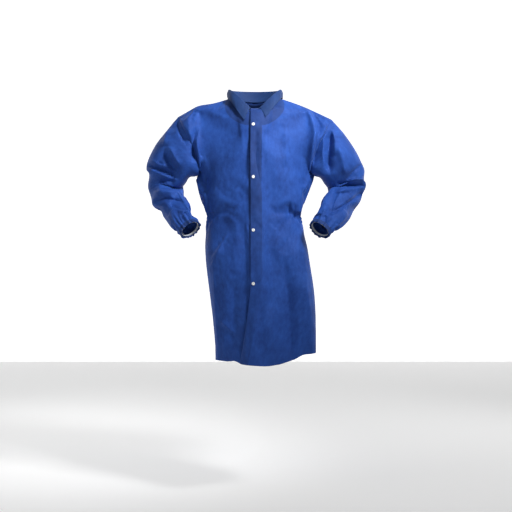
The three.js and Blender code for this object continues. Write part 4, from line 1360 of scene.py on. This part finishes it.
# ------------------------------------------------------------------------------------------------
# The studio: a plain pale floor and backdrop, soft light from above and both sides, and the
# camera straight in front at waist height.
# ------------------------------------------------------------------------------------------------
FLOOR_Z = -0.52
fresh()
bpy.ops.mesh.primitive_plane_add(size=40, location=(0, 0, FLOOR_Z))
floor = bpy.context.object
floor.name = "floor"
pale = plain_material("floor", (0.80, 0.80, 0.80), 0.9, 0, 0.1)
shine = pale.node_tree.nodes["Principled BSDF"].inputs
shine["Emission Color"].default_value = (1, 1, 1, 1)
shine["Emission Strength"].default_value = 0.22
floor.data.materials.append(pale)

fresh()
bpy.ops.mesh.primitive_plane_add(size=16, location=(0, 5.0, 3.0), rotation=(math.radians(90), 0, 0))
backdrop = bpy.context.object
backdrop.name = "backdrop"
glow = plain_material("backdrop", (0.9, 0.9, 0.9), 0.9, 0, 0.1)
shine = glow.node_tree.nodes["Principled BSDF"].inputs
shine["Emission Color"].default_value = (1, 1, 1, 1)
shine["Emission Strength"].default_value = 0.75
backdrop.data.materials.append(glow)

world = bpy.context.scene.world or bpy.data.worlds.new("studio")
bpy.context.scene.world = world
world.use_nodes = True
world.node_tree.nodes["Background"].inputs[0].default_value = (1, 1, 1, 1)
world.node_tree.nodes["Background"].inputs[1].default_value = 0.19


def lamp(name, place, aim, size, power, spread=180):
    """A rectangular soft light that looks at its aim."""
    light = bpy.data.lights.new(name, "AREA")
    light.energy = power
    light.shape = "RECTANGLE"
    light.size, light.size_y = size
    light.spread = math.radians(spread)
    obj = bpy.data.objects.new(name, light)
    obj.location = place
    obj.rotation_euler = (Vector(aim) - Vector(place)).to_track_quat("-Z", "Y").to_euler()
    bpy.context.scene.collection.objects.link(obj)


lamp("key", (1.25, -1.35, 2.15), (0.02, 0, 0.89), (0.5, 0.5), 5.8, 42)
lamp("fill", (-2.2, -1.6, 1.9), (0, 0, 0.7), (1.6, 1.6), 12)
lamp("rim left", (-1.8, 1.6, 1.5), (0, 0, 0.6), (0.8, 1.6), 14)
lamp("rim right", (1.9, 1.6, 1.4), (0, 0, 0.6), (0.8, 1.6), 14)

CAMERA_BACK = 3.9
camera = bpy.data.cameras.new("camera")
camera.sensor_width = 36
camera.lens = 36 * CAMERA_BACK / 1.976
view = bpy.data.objects.new("camera", camera)
view.location = (0.004, -CAMERA_BACK, 0.409)
view.rotation_euler = (math.radians(90), 0, 0)
bpy.context.scene.collection.objects.link(view)
bpy.context.scene.camera = view
bpy.context.scene.view_settings.view_transform = "Standard"
